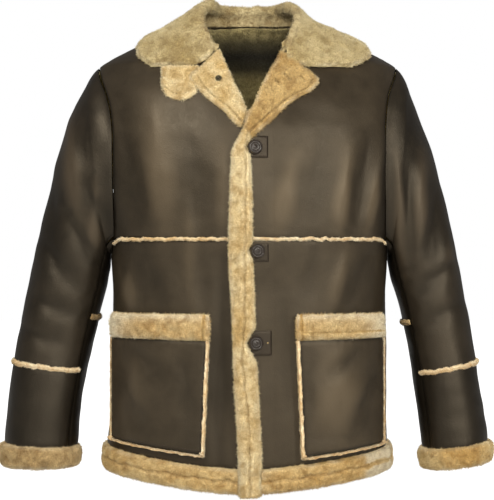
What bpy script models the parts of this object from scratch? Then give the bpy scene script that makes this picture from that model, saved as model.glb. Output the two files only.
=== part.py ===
"""A hip-length shearling jacket, filled out as if worn, with nobody in it.

Metres, +Z up, the front faces -Y and the wearer's left is +X. The origin is at the base of the neck, where
the wearer's shoulders carry the coat. Every panel is a region of one torso surface or of a sleeve surface,
made into a wall by moving its points along the surface's normals, and what lies on a panel is made from the
same points, moved further out. A "level" is a height on the side of the torso, and a "lift" is a distance out
from the surface.
"""

import bpy
from math import cos, pi, radians, sin

import numpy as np

GAP = 0.0003
WALL = 0.006
WOOL = 0.009
RAW_EDGE = 0.0072
RAW_HEIGHT = 0.0045

NECK_LEVEL = 0.012
CHEST_LEVEL = -0.338
HEM_TOP = -0.670
HEM_BOTTOM = -0.708
HEM_DIP = -0.026
BACK_NECK_RISE = 0.012

TORSO_COLUMNS = ("level", "half_width", "front", "back", "power", "centre")
TORSO = (
    (-0.750, 0.2325, 0.152, 0.146, 2.35, 0.000),
    (-0.670, 0.2300, 0.151, 0.142, 2.40, 0.001),
    (-0.560, 0.2240, 0.149, 0.133, 2.40, 0.004),
    (-0.450, 0.2240, 0.148, 0.130, 2.40, 0.004),
    (-0.365, 0.2255, 0.150, 0.133, 2.45, 0.004),
    (-0.330, 0.2335, 0.151, 0.136, 2.45, 0.004),
    (-0.290, 0.2435, 0.152, 0.140, 2.40, 0.004),
    (-0.240, 0.2530, 0.152, 0.143, 2.35, 0.003),
    (-0.180, 0.2580, 0.146, 0.142, 2.30, 0.003),
    (-0.130, 0.2590, 0.133, 0.137, 2.20, 0.002),
    (-0.100, 0.2570, 0.122, 0.131, 2.10, 0.001),
    (-0.078, 0.2520, 0.112, 0.125, 2.00, 0.001),
    (-0.0555, 0.2440, 0.100, 0.115, 1.95, 0.001),
    (-0.0446, 0.2280, 0.093, 0.110, 1.95, 0.001),
    (-0.0347, 0.2080, 0.086, 0.104, 1.95, 0.001),
    (-0.0248, 0.1860, 0.080, 0.098, 1.95, 0.001),
    (-0.010, 0.1480, 0.071, 0.090, 1.95, 0.001),
    (0.012, 0.0880, 0.060, 0.078, 2.00, 0.002),
)

ARMHOLE_TOP = -0.0555
ARMHOLE_BOTTOM = -0.365
ARMHOLE_ROWS = (-0.365, -0.359, -0.351, -0.092, -0.074, -0.064, -0.058, -0.0555)
ARMHOLE_COLUMNS = ("level", "reach")
ARMHOLE = (
    (-0.365, 0.2255),
    (-0.345, 0.2205),
    (-0.310, 0.2175),
    (-0.250, 0.2170),
    (-0.170, 0.2180),
    (-0.130, 0.2215),
    (-0.100, 0.2285),
    (-0.075, 0.2385),
    (-0.0555, 0.2440),
)

# The free front edges: the wearer's left edge turns out along "left", the right one runs under it.
FRONT_EDGE_COLUMNS = ("level", "left", "right")
FRONT_EDGES = (
    (-0.750, -0.0118, 0.0060),
    (-0.649, -0.0133, 0.0060),
    (-0.538, -0.0199, 0.0060),
    (-0.451, -0.0228, 0.0060),
    (-0.355, -0.0279, 0.0060),
    (-0.246, -0.0251, 0.0060),
    (-0.206, -0.0229, 0.0060),
    (-0.169, -0.0062, 0.0060),
    (-0.145, 0.0025, 0.0035),
    (-0.129, 0.0133, -0.0035),
    (-0.107, 0.0214, -0.0150),
    (-0.083, 0.0326, -0.0255),
    (-0.054, 0.0505, -0.0405),
    (-0.030, 0.0655, -0.0590),
    (0.000, 0.0835, -0.0800),
    (0.012, 0.0925, -0.0900),
)
OVERLAP_LIFT = WALL + 0.0008
OVERLAP_START = 0.010
OVERLAP_END = 0.040
OVERLAP_BENDS = (OVERLAP_START, (OVERLAP_START + OVERLAP_END) / 2, OVERLAP_END)

# The front band's outer side, as (level, x), notched round each button.
BAND_EDGE = (
    (-0.711, 0.0215),
    (-0.649, 0.0226),
    (-0.580, 0.0185),
    (-0.525, 0.0152),
    (-0.5095, 0.0062),
    (-0.4965, -0.0006),
    (-0.4835, 0.0062),
    (-0.476, 0.0122),
    (-0.420, 0.0110),
    (-0.369, 0.0085),
    (-0.356, 0.0018),
    (-0.343, 0.0085),
    (-0.290, 0.0080),
    (-0.246, 0.0068),
    (-0.210, 0.0048),
    (-0.197, -0.0016),
    (-0.1832, 0.0062),
)
BAND_SLANT = 0.0165
BAND_SLANT_START = -0.235

LAPEL_REST = 0.0012
LAPEL_COLUMNS = ("roll_level", "roll_x", "outer_level", "outer_x")
LEFT_LAPEL = (
    (-0.0500, 0.0530, -0.0704, 0.0900),
    (-0.0600, 0.0460, -0.0710, 0.0950),
    (-0.0700, 0.0385, -0.0780, 0.1035),
    (-0.0830, 0.0315, -0.0887, 0.1120),
    (-0.0950, 0.0255, -0.1037, 0.1020),
    (-0.1070, 0.0204, -0.1160, 0.0800),
    (-0.1180, 0.0160, -0.1301, 0.0613),
    (-0.1290, 0.0123, -0.1479, 0.0433),
    (-0.1454, 0.0015, -0.1672, 0.0234),
    (-0.1660, -0.0050, -0.1825, 0.0066),
)
RIGHT_LAPEL = (
    (-0.0488, -0.0435, -0.0652, -0.0690),
    (-0.0590, -0.0365, -0.0700, -0.0760),
    (-0.0660, -0.0325, -0.0755, -0.0820),
    (-0.0750, -0.0280, -0.0830, -0.0870),
    (-0.0880, -0.0230, -0.0940, -0.0815),
    (-0.1000, -0.0170, -0.1060, -0.0730),
    (-0.1140, -0.0100, -0.1240, -0.0540),
    (-0.1280, -0.0045, -0.1400, -0.0340),
    (-0.1430, 0.0008, -0.1550, -0.0215),
    (-0.1530, -0.0026, -0.1615, -0.0138),
    (-0.1590, -0.0050, -0.1650, -0.0092),
)

# Sleeve rings, each one a slanted oval between an outer and an inner point.
SLEEVE_COLUMNS = ("outer_x", "outer_z", "inner_x", "inner_z", "centre_y", "half_depth")
RIGHT_SLEEVE = (
    (-0.2445, -0.0555, -0.2232, -0.3650, 0.000, 0.090),
    (-0.2560, -0.0680, -0.2236, -0.3704, 0.000, 0.089),
    (-0.2720, -0.0970, -0.2240, -0.3762, 0.000, 0.086),
    (-0.2890, -0.1345, -0.2245, -0.3830, 0.001, 0.083),
    (-0.3070, -0.1850, -0.2255, -0.3890, 0.002, 0.079),
    (-0.3280, -0.2670, -0.2272, -0.3980, 0.003, 0.074),
    (-0.3500, -0.3630, -0.2300, -0.4110, 0.003, 0.069),
    (-0.3630, -0.4260, -0.2380, -0.4420, 0.002, 0.066),
    (-0.3770, -0.4950, -0.2550, -0.5115, -0.003, 0.063),
    (-0.3860, -0.5660, -0.2670, -0.5790, -0.012, 0.061),
    (-0.3927, -0.6190, -0.2740, -0.6287, -0.019, 0.059),
    (-0.3965, -0.6680, -0.2770, -0.6730, -0.025, 0.058),
    (-0.3950, -0.7040, -0.2790, -0.7045, -0.029, 0.058),
)
LEFT_SLEEVE = (
    (0.2465, -0.0555, 0.2314, -0.3650, 0.000, 0.090),
    (0.2570, -0.0690, 0.2320, -0.3704, 0.000, 0.089),
    (0.2706, -0.1040, 0.2328, -0.3762, 0.000, 0.086),
    (0.2855, -0.1430, 0.2338, -0.3830, 0.001, 0.083),
    (0.3036, -0.1900, 0.2352, -0.3900, 0.002, 0.079),
    (0.3240, -0.2670, 0.2380, -0.4020, 0.003, 0.074),
    (0.3457, -0.3630, 0.2434, -0.4208, 0.003, 0.069),
    (0.3580, -0.4257, 0.2516, -0.4520, 0.002, 0.066),
    (0.3704, -0.4950, 0.2657, -0.5180, -0.003, 0.063),
    (0.3800, -0.5660, 0.2764, -0.5825, -0.012, 0.061),
    (0.3878, -0.6190, 0.2820, -0.6320, -0.019, 0.059),
    (0.3925, -0.6640, 0.2863, -0.6765, -0.025, 0.058),
    (0.3925, -0.6960, 0.2900, -0.7090, -0.029, 0.058),
)
SLEEVE_POWER = 2.1
SLEEVE_BLEND = 0.035
FRONT_SEAM = radians(145)
BACK_SEAM = radians(-105)
TOP_CROSS_Z = -0.537
UNDER_CROSS_Z = -0.452
CUFF_ROWS = 1
CUFF_LIFT = 0.0085

# Where the fall of the collar ends on the coat, from the front end (0) to the middle of the back (1).
COLLAR_COLUMNS = ("fraction", "edge_level", "edge_degrees", "stand", "lean")
LEFT_COLLAR = (
    (0.00, -0.0630, 65.0, 0.008, 0.000),
    (0.20, -0.0480, 75.0, 0.016, 0.006),
    (0.48, -0.0270, 91.0, 0.0255, 0.026),
    (0.65, -0.0270, 114.0, 0.026, 0.019),
    (0.82, -0.0350, 146.0, 0.023, 0.007),
    (1.00, -0.0420, 180.0, 0.022, 0.004),
)
RIGHT_COLLAR = (
    (0.00, -0.0630, 62.0, 0.008, 0.000),
    (0.20, -0.0480, 70.0, 0.018, 0.006),
    (0.48, -0.0190, 90.0, 0.0300, 0.030),
    (0.65, -0.0210, 114.0, 0.028, 0.022),
    (0.82, -0.0340, 146.0, 0.023, 0.008),
    (1.00, -0.0420, 180.0, 0.022, 0.004),
)
COLLAR_STAND = 0.008
COLLAR_FALL = 0.0098
COLLAR_SLOT = 0.004
COLLAR_REST = 0.0012
COLLAR_SAG = 0.011
COLLAR_EASES = {1: 16.0, -1: 2.8}
COLLAR_SPREAD = 0.008
NOTCH_LEVEL = -0.048

# Each pocket's name, the x of its inner side at the top and at the foot, the x of its outer side, and the
# level of its foot.
POCKETS = (
    ("right", -0.0565, -0.0665, -0.2080, -0.6550),
    ("left", 0.0745, 0.0845, 0.2090, -0.6610),
)
POCKET_TOP = -0.4555
POCKET_BAND_BOTTOM = -0.4935
POCKET_STAND = 0.0095
POCKET_FACE = 0.0040
POCKET_REST = 0.0006
POCKET_WIDTH = 0.195
POCKET_SWELL = 0.0025

TAB_SIDE = -0.135
TAB_TOP = -0.0665
TAB_SHOULDER = -0.092
TAB_DEPTH = 0.028

BUTTON_RADIUS = 0.0115
# Each button's level and x, and its stay's top level, bottom level and right side.
STAYS = (
    (-0.1970, 0.0122, -0.1785, -0.2120, 0.0327),
    (-0.3560, 0.0157, -0.3445, -0.3735, 0.0337),
    (-0.4965, 0.0134, -0.4795, -0.5135, 0.0383),
)
STAY_THICKNESS = 0.0018
EYELET = (-0.0895, -0.0440)

LEATHER = ("leather", (0.042, 0.031, 0.023, 1.0), 0.42)
DARK_LEATHER = ("dark_leather", (0.022, 0.015, 0.011, 1.0), 0.38)
WOOL_SKIN = ("wool", (0.58, 0.42, 0.22, 1.0), 0.95)
BUTTON_FACE = ("button", (0.030, 0.020, 0.015, 1.0), 0.35)


class Curve:
    """A smooth line through a table's values that never swings past them."""

    def __init__(self, knots, values):
        self.knots = np.array(knots, float)
        self.values = np.array(values, float)
        slope = np.diff(self.values) / np.diff(self.knots)
        before, after = slope[:-1], slope[1:]
        same = before * after > 0
        inner = np.where(same, 2 * before * after / np.where(same, before + after, 1), 0)
        self.slopes = np.concatenate([slope[:1], inner, slope[-1:]])

    def __call__(self, at):
        at = np.clip(at, self.knots[0], self.knots[-1])
        i = np.clip(np.searchsorted(self.knots, at) - 1, 0, len(self.knots) - 2)
        width = self.knots[i + 1] - self.knots[i]
        t = (at - self.knots[i]) / width
        start = (1 + 2 * t) * (1 - t) ** 2 * self.values[i] + t * (1 - t) ** 2 * width * self.slopes[i]
        end = t * t * (3 - 2 * t) * self.values[i + 1] + t * t * (t - 1) * width * self.slopes[i + 1]
        return start + end


def curves(table, columns, knots=None):
    """One Curve for each column of a table, read against its first column or against the knots given."""
    rows = np.array(table, float)
    if knots is not None:
        return {name: Curve(knots, rows[:, i]) for i, name in enumerate(columns)}
    return {name: Curve(rows[:, 0], rows[:, i]) for i, name in enumerate(columns) if i}


TORSO_AT = curves(TORSO, TORSO_COLUMNS)
EDGE_AT = curves(FRONT_EDGES, FRONT_EDGE_COLUMNS)
REACH_AT = curves(ARMHOLE, ARMHOLE_COLUMNS)["reach"]
COLLAR_AT = {1: curves(LEFT_COLLAR, COLLAR_COLUMNS), -1: curves(RIGHT_COLLAR, COLLAR_COLUMNS)}


def soft_step(t):
    t = np.clip(t, 0.0, 1.0)
    return t * t * (3 - 2 * t)


def unit(vectors):
    return vectors / np.linalg.norm(vectors, axis=-1, keepdims=True)


def body(level, angle):
    """The torso's outer face. The angle is 0 at the front, a right angle at the wearer's left side."""
    level, angle = np.broadcast_arrays(np.asarray(level, float), np.asarray(angle, float))
    across, ahead = np.sin(angle), np.cos(angle)
    power = TORSO_AT["power"](level)
    depth = np.where(ahead > 0, TORSO_AT["front"](level), TORSO_AT["back"](level))
    sides = np.abs(across / TORSO_AT["half_width"](level)) ** power
    radius = (sides + np.abs(ahead / depth) ** power) ** (-1 / power)
    dip = HEM_DIP * np.clip(ahead, 0, 1) ** 1.75 * soft_step((-0.45 - level) / 0.22)
    rise = BACK_NECK_RISE * (1 - ahead) / 2 * soft_step((level + 0.05) / 0.06)
    x = TORSO_AT["centre"](level) + radius * across
    return np.stack([x, -radius * ahead, level + dip + rise], axis=-1)


def body_normal(level, angle):
    low, high = TORSO[0][0], TORSO[-1][0]
    around = body(level, angle + 1e-3) - body(level, angle - 1e-3)
    upward = body(np.clip(level + 5e-4, low, high), angle) - body(np.clip(level - 5e-4, low, high), angle)
    return unit(np.cross(around, upward))


def skin(level, angle, lift):
    return body(level, angle) + body_normal(level, angle) * np.asarray(lift)[..., None]


def angle_at(level, x, face=1):
    """The angle where the torso is at x, on its front (face 1) or its back (face -1)."""
    half = TORSO_AT["half_width"](level)
    power = TORSO_AT["power"](level)
    depth = np.where(face > 0, TORSO_AT["front"](level), TORSO_AT["back"](level))
    aside = np.clip((x - TORSO_AT["centre"](level)) / half, -1, 1)
    ahead = face * depth * (1 - np.abs(aside) ** power) ** (1 / power)
    return np.arctan2(aside * half, ahead)


def armhole_angle(level, side, face=1):
    """The torso's edge at the armhole, or its side where there is no armhole."""
    inside = (level < ARMHOLE_TOP) & (level > ARMHOLE_BOTTOM)
    reach = np.minimum(REACH_AT(level), TORSO_AT["half_width"](level))
    edge = angle_at(level, TORSO_AT["centre"](level) + side * reach, face)
    return np.where(inside, edge, side * pi / 2)


def overlap(x):
    """How far the wearer's left front stands out where it lies over the right one."""
    return OVERLAP_LIFT * np.clip((OVERLAP_END - x) / (OVERLAP_END - OVERLAP_START), 0, 1)


def band_side(level):
    rows = np.array(BAND_EDGE)
    return np.interp(level, rows[:, 0], rows[:, 1])


def bent_columns(first, last_angle, level, count):
    """Angles from x = first to an angle, with columns where the overlap bends."""
    lead = [first]
    for k, bend in enumerate(OVERLAP_BENDS, start=1):
        lead.append(np.maximum(first + 0.002 * k, bend))
    lead = [angle_at(level, x) for x in lead]
    rest = np.linspace(0, 1, count - len(lead) + 1)[1:]
    tail = [lead[-1] + (last_angle - lead[-1]) * share for share in rest]
    return np.concatenate(lead + tail, axis=1)


def left_front(level, x, lift):
    level, x = np.broadcast_arrays(np.asarray(level, float), np.asarray(x, float))
    return skin(level, angle_at(level, x), lift + overlap(x))


def right_front(level, x, lift):
    level, x = np.broadcast_arrays(np.asarray(level, float), np.asarray(x, float))
    return skin(level, angle_at(level, x), lift + 0 * x)


def levels_between(low, high, count):
    """Levels evenly spaced along the slope of the torso's side."""
    fine = np.linspace(low, high, 200)
    side = np.stack([TORSO_AT["half_width"](fine), fine], axis=-1)
    length = np.concatenate([[0], np.cumsum(np.linalg.norm(np.diff(side, axis=0), axis=1))])
    return np.interp(np.linspace(0, length[-1], count), length, fine)


def panel_levels(low, high, count):
    """Levels for a panel, closer together at the foot and the head of the armhole."""
    spread = levels_between(low, high, count)
    close = [level for level in ARMHOLE_ROWS if low + 0.004 < level < high - 0.004]
    far = [level for level in spread[1:-1] if min(abs(level - other) for other in [*close, 1.0]) > 0.008]
    return np.sort([low, high, *close, *far])


def puff(count, edge=0.35):
    """A rounded cross-section, low at both edges, as wool stands on a strip."""
    t = np.linspace(-1, 1, count)
    return edge + (1 - edge) * np.sqrt(np.clip(1 - np.abs(t) ** 2.6, 0, 1))


def new_material(recipe):
    name, colour, roughness = recipe
    material = bpy.data.materials.get(name) or bpy.data.materials.new(name)
    material.use_nodes = True
    shader = material.node_tree.nodes["Principled BSDF"]
    shader.inputs["Base Color"].default_value = colour
    shader.inputs["Roughness"].default_value = roughness
    material.diffuse_color = colour
    return material


def new_object(name, points, faces, recipe):
    mesh = bpy.data.meshes.new(name)
    mesh.from_pydata([tuple(map(float, point)) for point in points], [], faces)
    mesh.materials.append(new_material(recipe))
    mesh.shade_smooth()
    mesh.set_sharp_from_angle(angle=radians(50))
    made = bpy.data.objects.new(name, mesh)
    bpy.context.scene.collection.objects.link(made)
    return made


def signed_volume(points, faces):
    fans = [(face[0], face[i], face[i + 1]) for face in faces for i in range(1, len(face) - 1)]
    corners = np.array([[points[index] for index in fan] for fan in fans])
    return float(np.linalg.det(corners - points.mean(axis=0)).sum())


def shell(name, outer, inner, recipe, ring=False):
    """A wall between two grids of points with the same rows and columns. A ring closes its columns."""
    rows, columns = outer.shape[:2]
    count = rows * columns
    points = np.concatenate([outer.reshape(-1, 3), inner.reshape(-1, 3)])
    last = columns if ring else columns - 1

    def at(row, column):
        return row * columns + column % columns

    faces = []
    for row in range(rows - 1):
        for column in range(last):
            quad = (at(row, column), at(row, column + 1), at(row + 1, column + 1), at(row + 1, column))
            faces.append(quad)
            faces.append(tuple(count + corner for corner in reversed(quad)))
    for column in range(last):
        for row, turn in ((0, 1), (rows - 1, -1)):
            a, b = at(row, column), at(row, column + 1)
            faces.append((b, a, count + a, count + b)[::turn])
    if not ring:
        for row in range(rows - 1):
            for column, turn in ((0, 1), (columns - 1, -1)):
                a, b = at(row, column), at(row + 1, column)
                faces.append((a, b, count + b, count + a)[::turn])
    if signed_volume(points, faces) < 0:
        faces = [face[::-1] for face in faces]
    return new_object(name, points, faces, recipe)


def turned(name, profile, centre, axis, recipe, segments=14, ring=False):
    """A solid of revolution about an axis. Its profile is (radius, height) from the bottom to the top."""
    axis = unit(np.asarray(axis, float))
    side = unit(np.cross(axis, (0.0, 0.0, 1.0)))
    other = np.cross(axis, side)
    points = []
    rows = []
    for radius, height in profile:
        if radius == 0:
            rows.append([len(points)] * segments)
            points.append(centre + axis * height)
            continue
        rows.append(list(range(len(points), len(points) + segments)))
        for k in range(segments):
            turn = 2 * pi * k / segments
            points.append(centre + axis * height + radius * (cos(turn) * side + sin(turn) * other))
    if ring:
        rows.append(rows[0])
    faces = []
    for low, high in zip(rows, rows[1:]):
        for k in range(segments):
            face = [low[k], low[(k + 1) % segments], high[(k + 1) % segments], high[k]]
            faces.append(tuple(dict.fromkeys(face)))
    points = np.array(points)
    if signed_volume(points, faces) < 0:
        faces = [face[::-1] for face in faces]
    return new_object(name, points, faces, recipe)


def front_panels():
    for side, name in ((1, "left"), (-1, "right")):
        for part, low, high, rows in (
            ("lower", HEM_TOP + GAP, CHEST_LEVEL - GAP / 2, 11),
            ("upper", CHEST_LEVEL + GAP / 2, NECK_LEVEL, 15),
        ):
            level = panel_levels(low, high, rows)[:, None]
            outer_edge = armhole_angle(level, side)
            if side > 0:
                angle = bent_columns(EDGE_AT[name](level), outer_edge, level, 11)
            else:
                inner_edge = angle_at(level, EDGE_AT[name](level))
                angle = inner_edge + (outer_edge - inner_edge) * np.linspace(0, 1, 9)[None, :]
            x = body(level, angle)[..., 0]
            stand = overlap(x) if side > 0 else 0 * x
            grids = [skin(level + 0 * angle, angle, stand + lift) for lift in (0.0, -WALL)]
            shell(f"front_{name}_{part}", *grids, LEATHER)


def back_panel():
    level = panel_levels(HEM_TOP + GAP, NECK_LEVEL, 22)[:, None]
    seam = GAP / TORSO_AT["half_width"](level)
    left = armhole_angle(level, 1, -1) + seam
    right = armhole_angle(level, -1, -1) + 2 * pi - seam
    angle = left + (right - left) * np.linspace(0, 1, 15)[None, :]
    grids = [skin(level + 0 * angle, angle, lift + 0 * angle) for lift in (0.0, -WALL)]
    shell("back", *grids, LEATHER)


class Sleeve:
    """A sleeve's outer face: slanted oval rings that start as the armhole's own outline."""

    def __init__(self, table, side):
        rows = np.array(table, float)
        outer = rows[:, :2]
        self.side = side
        self.knots = np.concatenate([[0], np.cumsum(np.linalg.norm(np.diff(outer, axis=0), axis=1))])
        self.at = curves(table, SLEEVE_COLUMNS, self.knots)
        self.outer_z = rows[:, 1]

    def along_at(self, outer_z):
        return float(np.interp(-outer_z, -self.outer_z, self.knots))

    def armhole(self, around):
        middle = (ARMHOLE_TOP + ARMHOLE_BOTTOM) / 2
        level = middle + (ARMHOLE_TOP - ARMHOLE_BOTTOM) / 2 * np.cos(around)
        level = np.clip(level, ARMHOLE_BOTTOM + 1e-6, ARMHOLE_TOP - 1e-6)
        face = np.where(np.sin(around) >= 0, 1, -1)
        points = body(level, armhole_angle(level, self.side, face))
        return points + np.array([self.side * 3.6 * GAP, 0.0, 0.0])

    def __call__(self, along, around):
        along, around = np.broadcast_arrays(np.asarray(along, float), np.asarray(around, float))
        c, s = np.cos(around), np.sin(around)
        radius = (np.abs(c) ** SLEEVE_POWER + np.abs(s) ** SLEEVE_POWER) ** (-1 / SLEEVE_POWER)
        share = (1 + radius * c) / 2
        x = self.at["inner_x"](along) + (self.at["outer_x"](along) - self.at["inner_x"](along)) * share
        z = self.at["inner_z"](along) + (self.at["outer_z"](along) - self.at["inner_z"](along)) * share
        y = self.at["centre_y"](along) - self.at["half_depth"](along) * radius * s
        oval = np.stack([x, y, z], axis=-1)
        weight = (1 - soft_step(along / SLEEVE_BLEND))[..., None] ** 1.5
        return oval + (self.armhole(around) - oval) * weight

    def lifted(self, along, around, lift):
        top = self.knots[-1]
        down = self(np.clip(along + 1e-3, 0, top), around) - self(np.clip(along - 1e-3, 0, top), around)
        turn = self(along, around + 1e-3) - self(along, around - 1e-3)
        outward = unit(np.cross(down, turn)) * -self.side
        return self(along, around) + outward * np.asarray(lift)[..., None]


SLEEVES = {"left": Sleeve(LEFT_SLEEVE, 1), "right": Sleeve(RIGHT_SLEEVE, -1)}


def sleeve_panels():
    for name, sleeve in SLEEVES.items():
        cuff = sleeve.knots[-1 - CUFF_ROWS]
        for part, first, last, cross_z, columns in (
            ("top", BACK_SEAM, FRONT_SEAM, TOP_CROSS_Z, 13),
            ("under", FRONT_SEAM, BACK_SEAM + 2 * pi, UNDER_CROSS_Z, 7),
        ):
            cross = sleeve.along_at(cross_z)
            for half, start, end, rows in (
                ("upper", 0.0, cross - GAP / 2, 13),
                ("lower", cross + GAP / 2, cuff - GAP, 5),
            ):
                crowding = 1.6 if half == "upper" else 1.0
                along = start + (end - start) * np.linspace(0, 1, rows)[:, None] ** crowding
                seam = GAP / 0.06 * (1.5 + 5 * np.exp(-along / 0.04))
                around = first + seam + (last - first - 2 * seam) * np.linspace(0, 1, columns)[None, :]
                along, turn = np.broadcast_arrays(along, around)
                grids = [sleeve.lifted(along, turn, lift + 0 * turn) for lift in (0.0, -WALL)]
                shell(f"sleeve_{name}_{part}_{half}", *grids, LEATHER)
            along = cross + RAW_EDGE / 2 * np.linspace(-1, 1, 3)[:, None]
            around = np.linspace(first + GAP / 0.06, last - GAP / 0.06, columns)[None, :]
            along = along + 0.0010 * np.sin(9 * around + sleeve.side)
            along, turn = np.broadcast_arrays(along, around)
            height = RAW_HEIGHT * puff(3)[:, None] + 0 * turn
            welt = (sleeve.lifted(along, turn, height), sleeve.lifted(along, turn, 1.5 * GAP + 0 * turn))
            shell(f"welt_{name}_{part}_sleeve", *welt, WOOL_SKIN)
        along = np.linspace(cuff, sleeve.knots[-1], 5)[:, None]
        around = np.linspace(0, 2 * pi, 20, endpoint=False)[None, :]
        along, turn = np.broadcast_arrays(along, around)
        outside = CUFF_LIFT * puff(5, 0.45)[:, None] + 0 * turn
        inside = -WALL - 0.002 * puff(5, 0.0)[:, None] + 0 * turn
        shell(
            f"cuff_{name}",
            sleeve.lifted(along, turn, outside),
            sleeve.lifted(along, turn, inside),
            WOOL_SKIN,
            ring=True,
        )


def chest_welts():
    height = RAW_HEIGHT * puff(3)[:, None]
    for side, name in ((1, "left"), (-1, "right")):
        level = CHEST_LEVEL + RAW_EDGE / 2 * np.linspace(-1, 1, 3)[:, None]
        end = armhole_angle(level, side) - side * radians(1.2)
        if side > 0:
            angle = bent_columns(np.maximum(band_side(level) + 0.0008, OVERLAP_START), end, level, 17)
        else:
            start = angle_at(level, EDGE_AT["left"](level) - 0.0015)
            angle = start + (end - start) * np.linspace(0, 1, 16)[None, :]
        share = np.linspace(0, 1, angle.shape[1])[None, :]
        level = level - 0.006 * np.clip((share - 0.93) / 0.07, 0, 1) + 0.0009 * np.sin(31 * share + side)
        x = body(level, angle)[..., 0]
        stand = overlap(x) if side > 0 else 0 * x
        outer = skin(level, angle, stand + height)
        inner = skin(level, angle, stand + 2 * GAP)
        shell(f"welt_{name}_chest", outer, inner, WOOL_SKIN)


def lapels():
    for name, table, surface in (("left", LEFT_LAPEL, left_front), ("right", RIGHT_LAPEL, right_front)):
        lines = curves(table, LAPEL_COLUMNS, np.arange(len(table)))
        fine = np.linspace(0, len(table) - 1, 2 * len(table) - 1)[:, None]
        roll_level, roll_x, outer_level, outer_x = (lines[column](fine) for column in LAPEL_COLUMNS)
        share = np.linspace(0, 1, 6)[None, :]
        level = roll_level + (outer_level - roll_level) * share
        x = roll_x + (outer_x - roll_x) * share
        height = WOOL * puff(6, 0.45)[None, :] * puff(len(fine), 0.7)[:, None]
        shell(f"lapel_{name}", surface(level, x, height), surface(level, x, LAPEL_REST + 0 * x), WOOL_SKIN)


def front_band():
    knots = np.array(BAND_EDGE)[:, 0]
    hem = np.array([HEM_TOP - 0.006, HEM_TOP - 0.0002])
    extra = np.array([-0.695, -0.610, -0.552, -0.448, -0.395, -0.316, -0.268, -0.228])
    level = np.sort(np.concatenate([knots, hem, extra]))[::-1][:, None]
    # The top end is cut on the slant where the lapel's lower end meets it.
    slant = BAND_SLANT * np.clip((level - BAND_SLANT_START) / (knots[-1] - BAND_SLANT_START), 0, 1)
    side = band_side(level)
    bend = np.minimum(OVERLAP_START, side - 0.0025)
    first = EDGE_AT["left"](level + slant)
    x = np.concatenate([first + (bend - first) * share for share in (0, 0.36, 0.72, 1)] + [side], axis=1)
    level = level + slant * (side - x) / (side - first)
    outside = (WOOL + 0.001) * puff(5, 0.45)[None, :] + 0 * x
    outside[-1] *= 0.6
    below_hem = level < HEM_TOP - 0.001
    inside = np.where(below_hem, -OVERLAP_LIFT - WALL + 0.002, 3 * GAP)
    shell("front_band", left_front(level, x, outside), left_front(level, x, inside), WOOL_SKIN)


def hem_bands():
    level = np.linspace(HEM_BOTTOM, HEM_TOP - GAP, 5)[:, None]
    seam = GAP / 0.23
    start_right = angle_at(level, EDGE_AT["left"](level) - 0.0012)
    spans = (
        ("left", None, pi / 2 + 0 * level, 12),
        ("right", start_right, -pi / 2 + 0 * level, 11),
        ("back", pi / 2 + seam + 0 * level, 3 * pi / 2 - seam + 0 * level, 17),
    )
    for name, start, end, columns in spans:
        if start is None:
            angle = bent_columns(band_side(level) + 0.0012, end, level, columns)
        else:
            angle = start + (end - start) * np.linspace(0, 1, columns)[None, :]
        at = level + 0 * angle
        x = body(at, angle)[..., 0]
        stand = overlap(x) if name == "left" else 0 * x
        outside = 0.0075 * puff(5, 0.4)[:, None] + stand
        inside = -WALL - 0.002 * puff(5, 0.0)[:, None] + stand
        shell(f"hem_band_{name}", skin(at, angle, outside), skin(at, angle, inside), WOOL_SKIN)


def pockets():
    for name, inner_top, inner_bottom, outer_x, bottom in POCKETS:
        side = np.sign(outer_x)

        def spot(
            down, over, lift, inner_top=inner_top, inner_bottom=inner_bottom, outer_x=outer_x, bottom=bottom
        ):
            """A point of the pocket, by its share down from the top and its share over to the side."""
            down, over = np.broadcast_arrays(np.asarray(down, float), np.asarray(over, float))
            level = POCKET_TOP + (bottom - POCKET_TOP) * down
            start = angle_at(level, inner_top + (inner_bottom - inner_top) * down)
            end = angle_at(level, outer_x)
            return skin(level, start + (end - start) * over, lift + 0 * down)

        height = POCKET_TOP - bottom
        rim, foot = RAW_EDGE / POCKET_WIDTH, RAW_EDGE / height
        band = (POCKET_TOP - POCKET_BAND_BOTTOM) / height
        down = np.linspace(band + GAP / height, 1 - foot - GAP / height, 8)[:, None]
        over = np.linspace(rim + GAP / POCKET_WIDTH, 1 - rim - GAP / POCKET_WIDTH, 9)[None, :]
        swell = POCKET_SWELL * np.sin(pi * down) * np.sin(pi * over)
        face = spot(down, over, POCKET_STAND + POCKET_FACE + swell)
        shell(f"pocket_{name}_patch", face, spot(down, over, POCKET_STAND + swell), LEATHER)

        down = np.linspace(0, band, 5)[:, None]
        over = np.linspace(0, 1, 9)[None, :]
        outside = POCKET_STAND + WOOL * puff(5, 0.45)[:, None] * puff(9, 0.8)[None, :]
        inside = spot(down, over, POCKET_STAND - 0.001)
        shell(f"pocket_{name}_band", spot(down, over, outside), inside, WOOL_SKIN)

        top = band + 2 * GAP / height
        outline = [(t, 0.0) for t in np.linspace(top, 1, 7)]
        outline += [(1.0, t) for t in np.linspace(0, 1, 9)[1:]]
        outline += [(t, 1.0) for t in np.linspace(1, top, 7)[1:]]
        down, over = np.array(outline).T
        across = np.linspace(0, 1, 3)[None, :]
        inward = rim * ((over == 0) * 1.0 - (over == 1))
        down = down[:, None] - foot * (down == 1)[:, None] * across
        over = over[:, None] + inward[:, None] * across
        outside = (POCKET_STAND + POCKET_FACE + 0.001) * puff(3, 0.75)[None, :]
        shell(f"pocket_{name}_welt", spot(down, over, outside), spot(down, over, POCKET_REST), WOOL_SKIN)


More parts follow.
